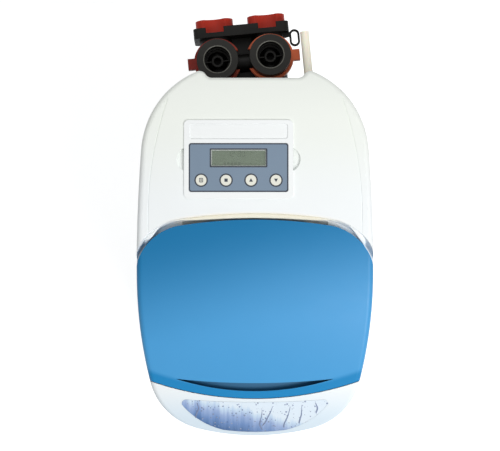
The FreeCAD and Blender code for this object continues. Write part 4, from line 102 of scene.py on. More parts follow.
class SoftenerColours(PropertyGroup):
    """Colours of the plastics, prints and metals, and of the light and shade painted on some of them."""

    cover: colour_setting("Cover", "Styrene of the top cover", "#F4F8F9")
    # painted shade: the cover's greyer tone towards the pipes, where the deck turns away from the light
    cover_rear_shade: colour_setting("Cover, rear", "Tone of the cover towards the pipes", "#F1F5EE")
    # painted shade: the pale blue of the nose round the window
    cover_nose_shade: colour_setting("Cover, nose", "Tone of the cover round the window", "#DCEBF6")
    # painted reflection: the warm cream of the cove behind the lid
    cove: colour_setting("Cove", "Warmer tone of the cover behind the lid", "#FFF7E8")
    # painted reflection: the strip's cream is the warm light reflected in the cove
    strip: colour_setting("Draught strip", "Cream foam behind the lid", "#F3EFDD")
    cabinet: colour_setting("Cabinet", "Polyethylene of the cabinet", "#E9EEEF")
    lid: colour_setting("Lid", "Blue of the salt lid", "#479CD5")
    # painted shade: the lid's deeper blue towards the hinge
    lid_rear_shade: colour_setting("Lid, rear", "Deeper blue of the lid towards the hinge", "#0670A4")
    # painted shade: the darker blue of the lid's front lip
    lid_lip_shade: colour_setting("Lid, lip", "Blue of the lid's turned-down front lip", "#1283BF")
    # painted shade: the slate of the finger groove's floor is the shade in the groove
    grip_shade: colour_setting("Finger groove", "Slate blue of the finger groove's textured floor", "#2D668B")
    bezel: colour_setting("Bezel", "White of the panel's bezel", "#F5F8F8")
    fascia: colour_setting("Fascia", "Blue grey of the printed fascia", "#7B8DA0")
    ink: colour_setting("Ink", "Dark line print of the fascia and the keys", "#2C333F")
    button: colour_setting("Button", "Cream of the keys", "#E8E8DC")
    display: colour_setting("Display", "Green grey of the display", "#8A9888")
    black: colour_setting("Black plastic", "Charcoal of the bypass and the elbows", "#11100F")
    ring: colour_setting("Union ring", "Worn grey black of the union rings", "#181714")
    red: colour_setting("Red plastic", "Red of the knobs and clips", "#B8301F")
    # painted light: the clips' orange red is their red made lighter where the light falls on them
    clip: colour_setting("Clips", "Faded orange red of the locking clips", "#DB6C44")
    tube: colour_setting("Natural plastic", "Cream of the unpigmented plastic", "#FBF4E2")
    tank: colour_setting("Tank", "Blue of the wound resin tank", "#2F5F8E")
    window_dark: colour_setting("Window, dark", "Left end of the window's print", "#416A9F")
    window_pale: colour_setting("Window, pale", "Right end of the window's print", "#C6DBF0")


class SoftenerSizes(PropertyGroup):
    """Sizes of the small parts that the frame does not hold."""

    ink_high: length_setting("Ink height", "How far printed lines stand up", 0.12)
    fascia_line: length_setting("Fascia line", "Width of the dark line round the fascia", 1.5)
    display_line: length_setting("Display line", "Width of the dark line round the display", 1.3)
    key_line: length_setting("Key ring", "Width of the dark ring round each key", 1.5)
    icon: length_setting("Icon", "Half width of a key's icon", 2.6)
    digit_high: length_setting("Digit", "Height of the display's digits", 7.2)
    drop: length_setting("Drop", "Radius of the window's largest drop", 1.5)
    drops: IntProperty(name="Drops", description="How many drops the window has", default=190, min=0)
    run: length_setting("Run of water", "Half width of the window's runs of water", 1.25)
    lip: length_setting("Port lip", "Half width of the rounded lip of the ports", 0.9)


class SoftenerStage(PropertyGroup):
    """Camera and lamps."""

    camera_height: length_setting("Camera height", "Height of the camera over the floor", 2300.0)
    camera_tilt: FloatProperty(name="Camera tilt", description="How far the camera leans to the rear",
                               default=math.radians(3.67), unit="ROTATION")
    focal: FloatProperty(name="Focal length", description="Lens for a 36 mm sensor", default=86.8,
                         unit="CAMERA")
    soft_box: FloatProperty(name="Soft box", description="Power of the main soft box", default=31.5,
                            min=0.0)
    fill: FloatProperty(name="Fill", description="Power of the fill lamp", default=6.0, min=0.0)
    sky: FloatProperty(name="Sky", description="Strength of the room's even light", default=0.36,
                       min=0.0)


def add_node(tree, kind, values=None, links=None, **settings):
    """Adds a node, sets its attributes and socket values, and links sockets from (node, output)."""
    node = tree.nodes.new("ShaderNode" + kind)
    for name, value in settings.items():
        setattr(node, name, value)
    for socket, value in (values or {}).items():
        node.inputs[socket].default_value = value
    for socket, (source, output) in (links or {}).items():
        tree.links.new(source.outputs[output], node.inputs[socket])
    return node


def blank_material(name):
    """A material with an empty tree, its output, and the link that gives a node each point's place
    in the object's own coordinates."""
    material = bpy.data.materials.new(name)
    material.use_nodes = True
    tree = material.node_tree
    tree.nodes.clear()
    output = add_node(tree, "OutputMaterial")
    coords = add_node(tree, "TexCoord")
    return material, tree, output, {"Vector": (coords, "Object")}


def shaded(tree, output, values, links):
    """Ends a material's tree with its shader."""
    shader = add_node(tree, "BsdfPrincipled", values, links)
    tree.links.new(shader.outputs[0], output.inputs[0])


def opaque(colour):
    """A colour with full alpha, as a colour socket takes it."""
    return (*colour, 1.0)


def between(tree, first, second, share):
    """Two colours mixed by a share, which is a (node, output)."""
    return add_node(tree, "Mix", {6: opaque(first), 7: opaque(second)}, {0: share}, data_type="RGBA")


def noise(tree, place, millimetres, detail, **values):
    """Noise whose features are that many millimetres wide."""
    values = {"Scale": per_mm(millimetres), "Detail": detail, **values}
    return add_node(tree, "TexNoise", values, place)


def bumped(tree, height, strength, millimetres, **settings):
    """Relief of a height, which is a (node, output), over a depth in millimetres."""
    return add_node(tree, "Bump", {"Strength": strength, "Distance": millimetres * MM},
                    {"Height": height}, **settings)


def axes(tree, place):
    """The node whose outputs are each point's X, Y and Z, in metres."""
    return add_node(tree, "SeparateXYZ", None, place)


def off_middle(tree, split):
    """How far each point lies from the line X = 0, in metres."""
    return add_node(tree, "Math", None, {0: (split, 0)}, operation="ABSOLUTE")


def largest(tree, first, second):
    """The larger one of two numbers."""
    return add_node(tree, "Math", None, {0: first, 1: second}, operation="MAXIMUM")


def seen_share(tree):
    """1 for the rays in which a surface is seen, straight, in a reflection or through something
    clear, and 0 for the rays that only light the other surfaces."""
    path = add_node(tree, "LightPath")
    seen = largest(tree, (path, "Is Camera Ray"), (path, "Is Glossy Ray"))
    return largest(tree, (seen, 0), (path, "Is Transmission Ray"))


def toned(colour, factor):
    """A colour made lighter or darker by one factor."""
    return tuple(min(1.0, c * factor) for c in colour)


def per_mm(millimetres):
    """Scale of a noise or cell texture whose features are that many millimetres wide."""
    return 1.0 / (millimetres * MM)


# the least upward part of a face's direction on which dust lies
DUST_FROM = 0.55


def moulded(name, colour, roughness, grain=2.2, relief=0.02, drift=0.06, dust=0.0, ior=1.5,
            through=0.0, shine=0.5, edge=0.0, colour_from=None):
    """Moulded plastic.

    The mould's spark-eroded skin leaves a grain, drawn about 2 mm wide so that it shows at this
    distance, and the melt's flow leaves broad faint clouds of tone. Handling leaves smears that
    change the gloss by a few percent. Dust settles on the faces that look up. Edges that the
    mould leaves round by a radius catch a line of light.
    """
    material, tree, output, place = blank_material(name)
    clouds = noise(tree, place, 70, 3.0, Roughness=0.55)
    smears = noise(tree, place, 24, 4.0, Distortion=0.8)
    tone = between(tree, toned(colour, 1 - drift), toned(colour, 1 + drift / 2), (clouds, 0))
    if colour_from is not None:
        tone = colour_from(tree, place, tone)
    if dust:
        facing = axes(tree, {0: (add_node(tree, "NewGeometry"), "Normal")})
        upward = add_node(tree, "MapRange", {1: DUST_FROM, 2: 1.0, 3: 0.0, 4: dust}, {0: (facing, 2)})
        tone = blended(tree, times(tree, upward, smears), (tone, 2), srgb("#A8A59C"))
    gloss = add_node(tree, "MapRange", {1: 0.25, 2: 0.75, 3: roughness - 0.05, 4: roughness + 0.08},
                     {0: (smears, 0)})
    bump = bumped(tree, (noise(tree, place, grain, 2.0), 0), 0.6, relief)
    if edge:
        round_edge = add_node(tree, "Bevel", {"Radius": edge * MM}, samples=6)
        tree.links.new(round_edge.outputs[0], bump.inputs["Normal"])
    shaded(tree, output, {"IOR": ior, "Subsurface Weight": through, "Subsurface Scale": 3 * MM,
                          "Specular IOR Level": shine},
           {"Base Color": (tone, 2), "Roughness": (gloss, 0), "Normal": (bump, 0)})
    return material


# spans over which a painted shade, highlight or reflection comes in, in millimetres along X, Y or Z
# or outside an arc of the lid, and how much the lid's painted shade leans
REAR_SHADE_SPAN = (60, 190)
NOSE_SHADE_SPAN = (-170, -236)
COVE_REFLECTION_NEAR = (-2, 2)
COVE_REFLECTION_FAR = (13, 5)
COVE_REFLECTION_ENDS = (135, 85)
COVE_REFLECTION_HEIGHTS = (600, 625)
CLIP_SHADE_SPAN = (10, -40)
STRIP_ENDS = (80, 130)
LID_SHADE_DEPTHS = (-118, 62)
LIP_SHADE_TURN = (-17, -9)
GRIP_REAR_WALL = (-0.3, 0.1)
GRIP_FRONT_WALL = (0.3, -0.1)
GRIP_ENDS = (110, 109)
LID_SHADE_LEAN = -0.22
PRINT_LEFT, PRINT_RIGHT = -94, 64
PRINT_FRONT, PRINT_REAR = -250, -203


def ramped(tree, source, start, end, amount=1.0):
    """A smooth step of one number, from 0 at a start to an amount at an end, both in millimetres."""
    return add_node(tree, "MapRange", {1: start * MM, 2: end * MM, 4: amount}, {0: source},
                    interpolation_type="SMOOTHSTEP")


def past_arc(tree, place, arc, start, end):
    """A smooth step across an arc that is seen from above, from 0 at a start to 1 at an end, both
    in millimetres outside it: each point's distance from the arc's centre, with its height left
    out, is ramped about the radius."""
    middle, radius = arc
    flat = add_node(tree, "VectorMath", {1: (1.0, 1.0, 0.0)}, place, operation="MULTIPLY")
    away = add_node(tree, "VectorMath", {1: (0.0, middle * MM, 0.0)}, {0: (flat, 0)}, operation="DISTANCE")
    return ramped(tree, (away, 1), radius + start, radius + end)


def times(tree, *factors):
    """Product of several numbers."""
    product = factors[0]
    for factor in factors[1:]:
        product = add_node(tree, "Math", None, {0: (product, 0), 1: (factor, 0)}, operation="MULTIPLY")
    return product


def blended(tree, share, base, colour):
    """A colour laid over a base by a share."""
    return add_node(tree, "Mix", {7: opaque(colour)}, {0: (share, 0), 6: base}, data_type="RGBA")


def cover_painted_light_tones(tree, place, tone):
    """Painted light and shade on the cover: painted shade greys it towards the pipes, where its deck
    slopes away from the lamps, painted pale blue shade lies round the window, and a warm painted reflection
    lies in the cove, which is the band behind the lid's rear arc."""
    colours = bpy.context.scene.softener_colours
    split = axes(tree, place)
    # painted shade: greyer towards the pipes
    rear = ramped(tree, (split, 1), *REAR_SHADE_SPAN, 0.9)
    tone = blended(tree, rear, (tone, 2), colours.cover_rear_shade)
    # painted shade: pale blue round the window
    tone = blended(tree, ramped(tree, (split, 1), *NOSE_SHADE_SPAN), (tone, 2), colours.cover_nose_shade)
    # painted reflection: a warm band in the cove behind the lid's rear arc
    warm_reflection = times(tree, past_arc(tree, place, LID_REAR_ARC, *COVE_REFLECTION_NEAR),
                 past_arc(tree, place, LID_REAR_ARC, *COVE_REFLECTION_FAR),
                 ramped(tree, (off_middle(tree, split), 0), *COVE_REFLECTION_ENDS),
                 ramped(tree, (split, 2), *COVE_REFLECTION_HEIGHTS))
    return blended(tree, warm_reflection, (tone, 2), colours.cove)


def clip_painted_light_tones(tree, place, tone):
    """Tones of the locking clips, painted light and shade: the left one is painted a deep red shade, the
    right one a lit orange red.
    """
    painted_shade_red = toned(bpy.context.scene.softener_colours.red, 0.45)
    return blended(tree, ramped(tree, (axes(tree, place), 0), *CLIP_SHADE_SPAN), (tone, 2), painted_shade_red)


def strip_painted_reflection_tones(tree, place, tone):
    """Tones of the draught strip: a cream painted warm reflection behind the lid, and as pale as the cover
    at its ends.
    """
    side = off_middle(tree, axes(tree, place))
    pale = bpy.context.scene.softener_colours.cover
    return blended(tree, ramped(tree, (side, 0), *STRIP_ENDS), (tone, 2), pale)


def lid_painted_shade_tones(tree, place, tone):
    """Painted shade on the lid: its blue is painted deeper towards the hinge and the rear left, and on
    the front lip, where the light falls off, and the floor of the finger groove, between its two arcs, is
    painted a slate shade."""
    colours = bpy.context.scene.softener_colours
    split = axes(tree, place)
    # painted shade: the lid darkens towards the hinge and the rear left
    shade_lean = add_node(tree, "Math", {1: LID_SHADE_LEAN}, {0: (split, 0), 2: (split, 1)},
                       operation="MULTIPLY_ADD")
    tone = blended(tree, ramped(tree, (shade_lean, 0), *LID_SHADE_DEPTHS), (tone, 2), colours.lid_rear_shade)
    # painted shade: the front lip is darker
    lip = past_arc(tree, place, LID_FRONT_ARC, *LIP_SHADE_TURN)
    tone = blended(tree, lip, (tone, 2), colours.lid_lip_shade)
    # painted shade: the finger groove's floor, between its two arcs, is slate
    floor = times(tree, past_arc(tree, place, GRIP_REAR_ARC, *GRIP_REAR_WALL),
                  past_arc(tree, place, GRIP_FRONT_ARC, *GRIP_FRONT_WALL),
                  ramped(tree, (off_middle(tree, split), 0), *GRIP_ENDS))
    return blended(tree, floor, (tone, 2), colours.grip_shade)


def window_print():
    """In-mould decorated clear acrylic: a picture of wet glass under a glossy skin.

    The print runs from slate blue at the left to a pale sky at the right, and from pale at its
    upper edge to slate at its lower one, with upright streaks of running water about 9 mm apart
    and small dark drop marks. The skin over it is smooth.
    """
    colours = bpy.context.scene.softener_colours
    material, tree, output, place = blank_material("InMouldPrintedAcrylic")
    split = axes(tree, place)
    across = add_node(tree, "MapRange", {1: PRINT_LEFT * MM, 2: PRINT_RIGHT * MM}, {0: (split, 0)})
    upright = add_node(tree, "Mapping", {"Scale": (per_mm(9), per_mm(130), per_mm(130))}, place)
    streaks = add_node(tree, "TexNoise", {"Scale": 1.0, "Detail": 5.0, "Roughness": 0.65},
                       {"Vector": (upright, 0)})
    wander = add_node(tree, "Math", {1: 0.9, 2: -0.45}, {0: (streaks, 0)}, operation="MULTIPLY_ADD")
    down = add_node(tree, "MapRange", {1: PRINT_FRONT * MM, 2: PRINT_REAR * MM, 3: -0.44, 4: 0.78},
                    {0: (split, 1)})
    position = add_node(tree, "Math", None, {0: (across, 0), 1: (wander, 0)}, operation="ADD")
    position = add_node(tree, "Math", None, {0: (position, 0), 1: (down, 0)}, operation="ADD")
    ramp = add_node(tree, "ValToRGB", None, {0: (position, 0)})
    stops = ((0.0, colours.window_dark), (0.3, srgb("#6C8EC2")), (0.62, srgb("#9BB2DA")),
             (0.85, colours.window_pale), (1.0, srgb("#E0EDF8")))
    for index, (at, colour) in enumerate(stops):
        stop = ramp.color_ramp.elements[index] if index < 2 else ramp.color_ramp.elements.new(at)
        stop.position = at
        stop.color = opaque(colour)
    marks = add_node(tree, "TexVoronoi", {"Scale": per_mm(6.5), "Randomness": 1.0}, place, feature="F1")
    mark = add_node(tree, "MapRange", {1: 0.2, 2: 0.11, 4: 0.75}, {0: (marks, "Distance")})
    some = add_node(tree, "MapRange", {1: 0.46, 2: 0.56}, {0: (noise(tree, place, 22, 2.0), 0)})
    marked = blended(tree, times(tree, mark, some), (ramp, 0), srgb("#4B5E86"))
    bump = bumped(tree, (streaks, 0), 0.4, 0.1)
    shaded(tree, output, {"IOR": 1.49, "Roughness": 0.14, "Specular IOR Level": 0.35},
           {"Base Color": (marked, 2), "Normal": (bump, 0)})
    return material


def display_film():
    """Tinted acrylic over the display: see-through, glossy and faintly smeared by fingers."""
    material, tree, output, place = blank_material("TintedAcrylicLens")
    smears = noise(tree, place, 14, 4.0, Distortion=1.0)
    gloss = add_node(tree, "MapRange", {1: 0.3, 2: 0.7, 3: 0.04, 4: 0.16}, {0: (smears, 0)})
    tone = between(tree, srgb("#83907D"), srgb("#8D9A8A"), (smears, 0))
    shaded(tree, output, {"IOR": 1.49, "Alpha": 0.28}, {"Base Color": (tone, 2), "Roughness": (gloss, 0)})
    return material


def wound_tank():
    """Glass fibre wound round a liner in blue epoxy: bands 18 mm wide cross at a steep angle."""
    colours = bpy.context.scene.softener_colours
    material, tree, output, place = blank_material("FilamentWoundEpoxy")
    bands = []
    for lean in (0.9, -0.9):
        turn = add_node(tree, "Mapping", {"Rotation": (0.0, lean, 0.0)}, place)
        waves = {"Scale": per_mm(18) / 6.3, "Distortion": 1.2, "Detail": 2.0}
        bands.append(add_node(tree, "TexWave", waves, {"Vector": (turn, 0)}, bands_direction="Z"))
    cross = add_node(tree, "Math", None, {0: (bands[0], 1), 1: (bands[1], 1)}, operation="ADD")
    half = add_node(tree, "Math", {1: 0.5}, {0: (cross, 0)}, operation="MULTIPLY")
    tone = between(tree, toned(colours.tank, 0.75), toned(colours.tank, 1.3), (half, 0))
    bump = bumped(tree, (half, 0), 0.7, 0.3)
    shaded(tree, output, {"IOR": 1.55, "Roughness": 0.32}, {"Base Color": (tone, 2), "Normal": (bump, 0)})
    return material


def resin_beads():
    """Wet ion exchange resin: amber beads, drawn 2.5 mm wide so that they show, with painted shade between
    them.
    """
    material, tree, output, place = blank_material("IonExchangeBeads")
    beads = add_node(tree, "TexVoronoi", {"Scale": per_mm(2.5)}, place, feature="F1")
    # painted shade: the colour darkens away from each bead's middle, into the gaps between beads
    tone = between(tree, srgb("#C8862E"), srgb("#5E340E"), (beads, "Distance"))
    bump = bumped(tree, (beads, "Distance"), 1.0, 0.8, invert=True)
    shaded(tree, output, {"IOR": 1.45, "Roughness": 0.2}, {"Base Color": (tone, 2), "Normal": (bump, 0)})
    return material


def stainless():
    """Cold-headed stainless steel: turning lines 0.8 mm apart and dull patches from handling."""
    material, tree, output, place = blank_material("StainlessSteel")
    stretch = add_node(tree, "Mapping", {"Scale": (per_mm(0.8), per_mm(12), per_mm(12))}, place)
    lines = add_node(tree, "TexNoise", {"Scale": 1.0, "Detail": 2.0}, {"Vector": (stretch, 0)})
    patches = noise(tree, place, 9, 3.0)
    tone = between(tree, srgb("#A9ABAD"), srgb("#C9CBCC"), (patches, 0))
    gloss = add_node(tree, "MapRange", {3: 0.22, 4: 0.45}, {0: (patches, 0)})
    bump = bumped(tree, (lines, 0), 0.3, 0.05)
    shaded(tree, output, {"Metallic": 1.0},
           {"Base Color": (tone, 2), "Roughness": (gloss, 0), "Normal": (bump, 0)})
    return material


def circuit_board():
    """Etched glass epoxy under green solder mask: copper tracks 3 mm apart show as a paler relief."""
    material, tree, output, place = blank_material("SolderMaskedBoard")
    tracks = add_node(tree, "TexBrick", {
        "Color1": (0, 0, 0, 1), "Color2": (0, 0, 0, 1), "Mortar": (1, 1, 1, 1), "Scale": per_mm(12),
        "Mortar Size": 0.04, "Brick Width": 1.7, "Row Height": 0.25}, place)
    tone = between(tree, srgb("#1F5A3A"), srgb("#3F8A5C"), (tracks, 0))
    bump = bumped(tree, (tracks, 0), 0.6, 0.1)
    shaded(tree, output, {"IOR": 1.52, "Roughness": 0.3}, {"Base Color": (tone, 2), "Normal": (bump, 0)})
    return material


def make_finishes():
    """All finishes by the frame's material slots, with the black and red plastics dusted."""
    colours = bpy.context.scene.softener_colours
    return {
        "cover_white": moulded("SatinHighImpactStyrene", colours.cover, 0.4, relief=0.012, drift=0.02,
                               shine=0.35, colour_from=cover_painted_light_tones),
        "lid_blue": moulded("BlueHighImpactStyrene", colours.lid, 0.4, relief=0.014, drift=0.04,
                            shine=0.3, colour_from=lid_painted_shade_tones),
        "cabinet_white": moulded("BlowMouldedPolyethylene", colours.cabinet, 0.45, grain=5.0, relief=0.06,
                                 drift=0.03, through=0.05),
        "window_blue": window_print(),
        "bezel_white": moulded("WhiteAbsBezel", colours.bezel, 0.35, relief=0.008, drift=0.02, edge=0.7),
        "fascia_grey": moulded("PrintedPolycarbonateFascia", colours.fascia, 0.45, grain=1.2, relief=0.01,
                               drift=0.06, shine=0.35),
        "lens_grey": display_film(),
        "display_green": moulded("ReflectiveDisplayGlass", colours.display, 0.25, grain=1.0, relief=0.004,
                                 drift=0.07),
        "button_cream": moulded("CreamAbsKey", colours.button, 0.35, grain=1.0, relief=0.006, drift=0.03,
                                edge=0.6),
        "board_green": circuit_board(),
        "tank_blue": wound_tank(),
        "black_plastic": moulded("GlassFilledPolyphenylene", colours.black, 0.4, grain=1.5, relief=0.02,
                                 drift=0.2, dust=0.02, shine=0.12, edge=0.9),
        "red_plastic": moulded("RedAcetal", colours.red, 0.32, grain=1.5, relief=0.015, drift=0.16,
                               dust=0.01, shine=0.16, edge=1.2),
        "natural_plastic": moulded("NaturalPolyethylene", colours.tube, 0.4, grain=3.0, relief=0.02,
                                   drift=0.05, through=0.15, edge=0.8),
        "resin_amber": resin_beads(),
        "steel": stainless(),
        "black_rubber": moulded("BlackNitrileRubber", srgb("#1D1D1E"), 0.62, grain=1.2, relief=0.04,
                                drift=0.2, dust=0.2, shine=0.3),
        "gear_white": moulded("WhiteAcetalGear", srgb("#ECECE6"), 0.32, grain=1.2, relief=0.01, drift=0.04),
    }


def paint(nodes, finish=None):
    """Gives each of these CAD nodes a finish, or else its slot's, in all its material slots."""
    slots = {row["node"]: row["material_slot"] for row in frame["record"]["subparts"]}
    for name in nodes:
        node = frame["nodes"][name]
        for index in range(len(node.material_slots)):
            node.material_slots[index].material = finish or make_finishes.kept[slots[name]]
        painted.add(name)


painted = set()


def node_points(name):
    """The corners of a CAD node's mesh, as rows of x, y and z in metres."""
    mesh = frame["nodes"][name].data
    flat = np.empty(len(mesh.vertices) * 3, np.float32)
    mesh.vertices.foreach_get("co", flat)
    return flat.reshape(-1, 3).astype(float)


def panel_box(name):
    """Lowest and highest corner of a node in the panel's own frame, in millimetres: its corners
    less the panel's place, turned back by the tilt."""
    y_along, z_along = math.cos(PANEL_TILT), math.sin(PANEL_TILT)
    away = node_points(name) / MM - np.array(PANEL_PLACE)
    turned = np.stack([away[:, 0], away[:, 1] * y_along + away[:, 2] * z_along,
                       away[:, 2] * y_along - away[:, 1] * z_along], axis=1)
    return turned.min(axis=0), turned.max(axis=0)


def on_panel(points):
    """Carries millimetre points from the panel's frame into the object's, in metres: a turn about
    X by the tilt, then a move to the panel's place."""
    x, y, z = points[..., 0], points[..., 1], points[..., 2]
    y_along, z_along = math.cos(PANEL_TILT), math.sin(PANEL_TILT)
    turned = np.stack([x, y * y_along - z * z_along, y * z_along + z * y_along], axis=-1)
    return (turned + np.array(PANEL_PLACE)) * MM


def on_valve(points):
    """Carries millimetre points from the valve's frame into the object's, in metres: a turn about
    Z by the yaw, then a move to the tank's axis."""
    x, y, z = points[..., 0], points[..., 1], points[..., 2]
    across, along = math.cos(VALVE_YAW), math.sin(VALVE_YAW)
    turned = np.stack([x * across - y * along, x * along + y * across, z], axis=-1)
    return (turned + np.array(VALVE_PLACE)) * MM


def skin(name, rings, material, joined=False, smooth=True):
    """One mesh from stacks of closed rings.

    rings has the shape (stacks, rings, points, 3). Point p of ring r is joined to its neighbours
    in four-sided faces. Each stack is closed by a fan about the middle of its first and its last
    ring, or, when joined, by faces from its last ring back to its first.
    """
    stacks, count, around, _ = rings.shape
    corners = rings.reshape(-1, 3)
    index = np.arange(stacks * count * around).reshape(stacks, count, around)
    ahead = np.roll(index, -1, axis=2)
    if joined:
        low, low_next = index, ahead
        high, high_next = np.roll(index, -1, axis=1), np.roll(ahead, -1, axis=1)
    else:
        low, low_next, high, high_next = index[:, :-1], ahead[:, :-1], index[:, 1:], ahead[:, 1:]
    faces = np.stack([low, low_next, high_next, high], axis=-1).reshape(-1, 4).tolist()
    if not joined:
        start, end = rings[:, 0].mean(axis=1), rings[:, -1].mean(axis=1)
        poles = len(corners) + np.arange(2 * stacks).reshape(2, stacks, 1)
        corners = np.concatenate([corners, start, end])
        start_pole = np.broadcast_to(poles[0], (stacks, around))
        end_pole = np.broadcast_to(poles[1], (stacks, around))
        faces += np.stack([ahead[:, 0], index[:, 0], start_pole], axis=-1).reshape(-1, 3).tolist()
        faces += np.stack([index[:, -1], ahead[:, -1], end_pole], axis=-1).reshape(-1, 3).tolist()
    mesh = bpy.data.meshes.new(name)
    mesh.from_pydata(corners.tolist(), [], faces)
    mesh.polygons.foreach_set("use_smooth", [smooth] * len(mesh.polygons))
    mesh.update()
    mesh.materials.append(material)
    piece = bpy.data.objects.new(name, mesh)
    bpy.context.scene.collection.objects.link(piece)
    return piece


def full_turn(points):
    """Equal angles round a full turn."""
    return np.linspace(0, 2 * math.pi, points, endpoint=False)


def circle(centre, radius, points=48):
    """A closed ring of points at equal angles on a circle, anticlockwise, as rows of x and y."""
    angle = full_turn(points)
    return np.stack([centre[0] + radius * np.cos(angle), centre[1] + radius * np.sin(angle)], axis=-1)


def rounded_box(low, high, corner, points=10):
    """A closed ring round a rectangle with quarter-circle corners, anticlockwise from its lower
    right corner: each corner's centre plus its radius along a quarter turn."""
    turns = np.linspace(0, math.pi / 2, points)
    starts = np.array([-math.pi / 2, 0, math.pi / 2, math.pi])[:, None] + turns[None, :]
    centres = np.array([[high[0] - corner, low[1] + corner], [high[0] - corner, high[1] - corner],
                        [low[0] + corner, high[1] - corner], [low[0] + corner, low[1] + corner]])
    ring = centres[:, None, :] + corner * np.stack([np.cos(starts), np.sin(starts)], axis=-1)
    return ring.reshape(-1, 2)


def box_about(x, y, across, along, corner, points=10):
    """A rounded rectangle about a place, from half its width and half its height."""
    return rounded_box((x - across, y - along), (x + across, y + along), corner, points)


def along_edges(places, points=8):
    """A closed ring along straight edges between places, with that many even steps on each."""
    places = np.array(places, float)
    step = np.linspace(0, 1, points, endpoint=False)[None, :, None]
    ahead = np.roll(places, -1, axis=0)
    return (places[:, None, :] * (1 - step) + ahead[:, None, :] * step).reshape(-1, 2)


def shrunk(ring, distance):
    """A ring drawn in by about a distance: each point moves against the ring's outward normal,
    which is the turned difference of its neighbours."""
    tangent = np.roll(ring, -1, axis=0) - np.roll(ring, 1, axis=0)
    normal = np.stack([tangent[:, 1], -tangent[:, 0]], axis=-1)
    normal /= np.maximum(np.linalg.norm(normal, axis=1, keepdims=True), 1e-9)
    return ring - normal * distance


def at_height(ring, z):
    """A flat ring lifted to a height."""
    return np.concatenate([ring, np.full((len(ring), 1), z)], axis=-1)


def raised(ring, low, high):
    """A stack of rings for a raised flat shape: its foot, its shoulder and its chamfered top."""
    soft = (high - low) * 0.4
    return np.stack([at_height(ring, low), at_height(ring, high - soft),
                     at_height(shrunk(ring, soft), high)])


def raised_frame(outer, inner, low, high):
    """Rings for a raised frame, to be joined end to end: up the outside, over and down the inside."""
    return np.stack([at_height(outer, low), at_height(outer, high), at_height(inner, high),
                     at_height(inner, low)])


def eased(values, rounds):
    """A row of numbers or places with its bumps eased: each inner one moves, some rounds long, to
    a quarter of both neighbours and half of itself."""
    values = np.array(values, float)
    for _ in range(rounds):
        values[1:-1] = (values[:-2] + 2 * values[1:-1] + values[2:]) / 4
    return values


def ink():
    """Screen-printed ink: dark, matt and a little uneven where the squeegee lifted."""
    return moulded("ScreenPrintedInk", bpy.context.scene.softener_colours.ink, 0.5, grain=0.8,
                   relief=0.004, drift=0.12)


class SOFTENER_OT_finish_shell(Operator):
    """Give the cover, the lid, the cabinet and the window their finishes"""

    bl_idname = "softener.finish_shell"
    bl_label = "Finish shell"

    def execute(self, context):
        paint(("top_cover", "salt_lid", "cabinet", "front_window", "lid_bumpers", "hinge_pins",
               "cover_screws", "power_grommet", "overflow_elbow", "overflow_nut"))
        return {"FINISHED"}


class SOFTENER_OT_finish_panel(Operator):
    """Give the control panel's parts their finishes"""

    bl_idname = "softener.finish_panel"
    bl_label = "Finish panel"

    def execute(self, context):
        paint(("panel_bezel", "panel_fascia", "lcd_lens", "lcd_module", "display_board",
               "pod_back_cover", "button_menu", "button_stop", "button_up", "button_down"))
        return {"FINISHED"}


class SOFTENER_OT_finish_bypass(Operator):
    """Give the bypass, its knobs, clips and the drain tube their finishes"""

    bl_idname = "softener.finish_bypass"
    bl_label = "Finish bypass"

    def execute(self, context):
        paint(("bypass_body", "bypass_plate", "bypass_rotor_left", "bypass_rotor_right",
               "bypass_knob_left", "bypass_knob_right", "flow_straighteners", "cable_guide",
               "elbow_seals", "port_elbow", "drain_elbow", "drain_tube"))
        worn = moulded("WornGlassFilledNylon", context.scene.softener_colours.ring, 0.36, grain=1.5,
                       relief=0.03, drift=0.25, dust=0.02, shine=0.2, edge=1.2)
        paint(("union_ring_left", "union_ring_right"), worn)
        # painted light and shade: the right clip is painted lit, the left one in shade
        clip_lit_and_shaded = moulded("RedAcetalPaintedLight", context.scene.softener_colours.clip, 0.32, grain=1.5,
                        relief=0.015, drift=0.2, shine=0.2, edge=0.9, colour_from=clip_painted_light_tones)
        paint(("locking_clips",), clip_lit_and_shaded)
        return {"FINISHED"}


class SOFTENER_OT_finish_valve(Operator):
    """Give the control valve and its drive their finishes"""

    bl_idname = "softener.finish_valve"
    bl_label = "Finish valve"

    def execute(self, context):
        paint(("valve_body", "valve_piston", "seal_stack", "injector", "injector_cap", "main_gear",
               "reduction_gear", "motor_pinion", "gear_axle", "drive_motor", "drive_bracket"))
        return {"FINISHED"}


class SOFTENER_OT_finish_tanks(Operator):
    """Give the resin tank, the brine well and what is in them their finishes"""

    bl_idname = "softener.finish_tanks"
    bl_label = "Finish tanks"

    def execute(self, context):
        paint(("resin_tank", "tank_boot", "resin_bed", "riser_tube", "top_strainer",
               "bottom_strainer", "salt_grid", "brine_well", "brine_well_cap", "brine_valve",
               "brine_line", "brine_elbow", "safety_float"))
        return {"FINISHED"}


# the menu key's page: its height and its lines' half width in shares of an icon's half width, and
# in millimetres its corner, its outline, its lines' half height and corner, and their places
PAGE_HIGH = 1.15
PAGE_LINES_WIDE = 0.45
PAGE_CORNER = 0.9
PAGE_OUTLINE = 0.85
PAGE_LINE = (0.32, 0.15)
PAGE_LINES = (-1.2, 0.0, 1.2)
# corners of the icons of three keys, anticlockwise, in shares of an icon's half width
ICONS = {
    "stop": ((-0.85, -0.85), (0.85, -0.85), (0.85, 0.85), (-0.85, 0.85)),
    "up": ((-1.0, -0.8), (1.0, -0.8), (0.0, 1.05)),
    "down": ((0.0, -1.05), (1.0, 0.8), (-1.0, 0.8)),
}


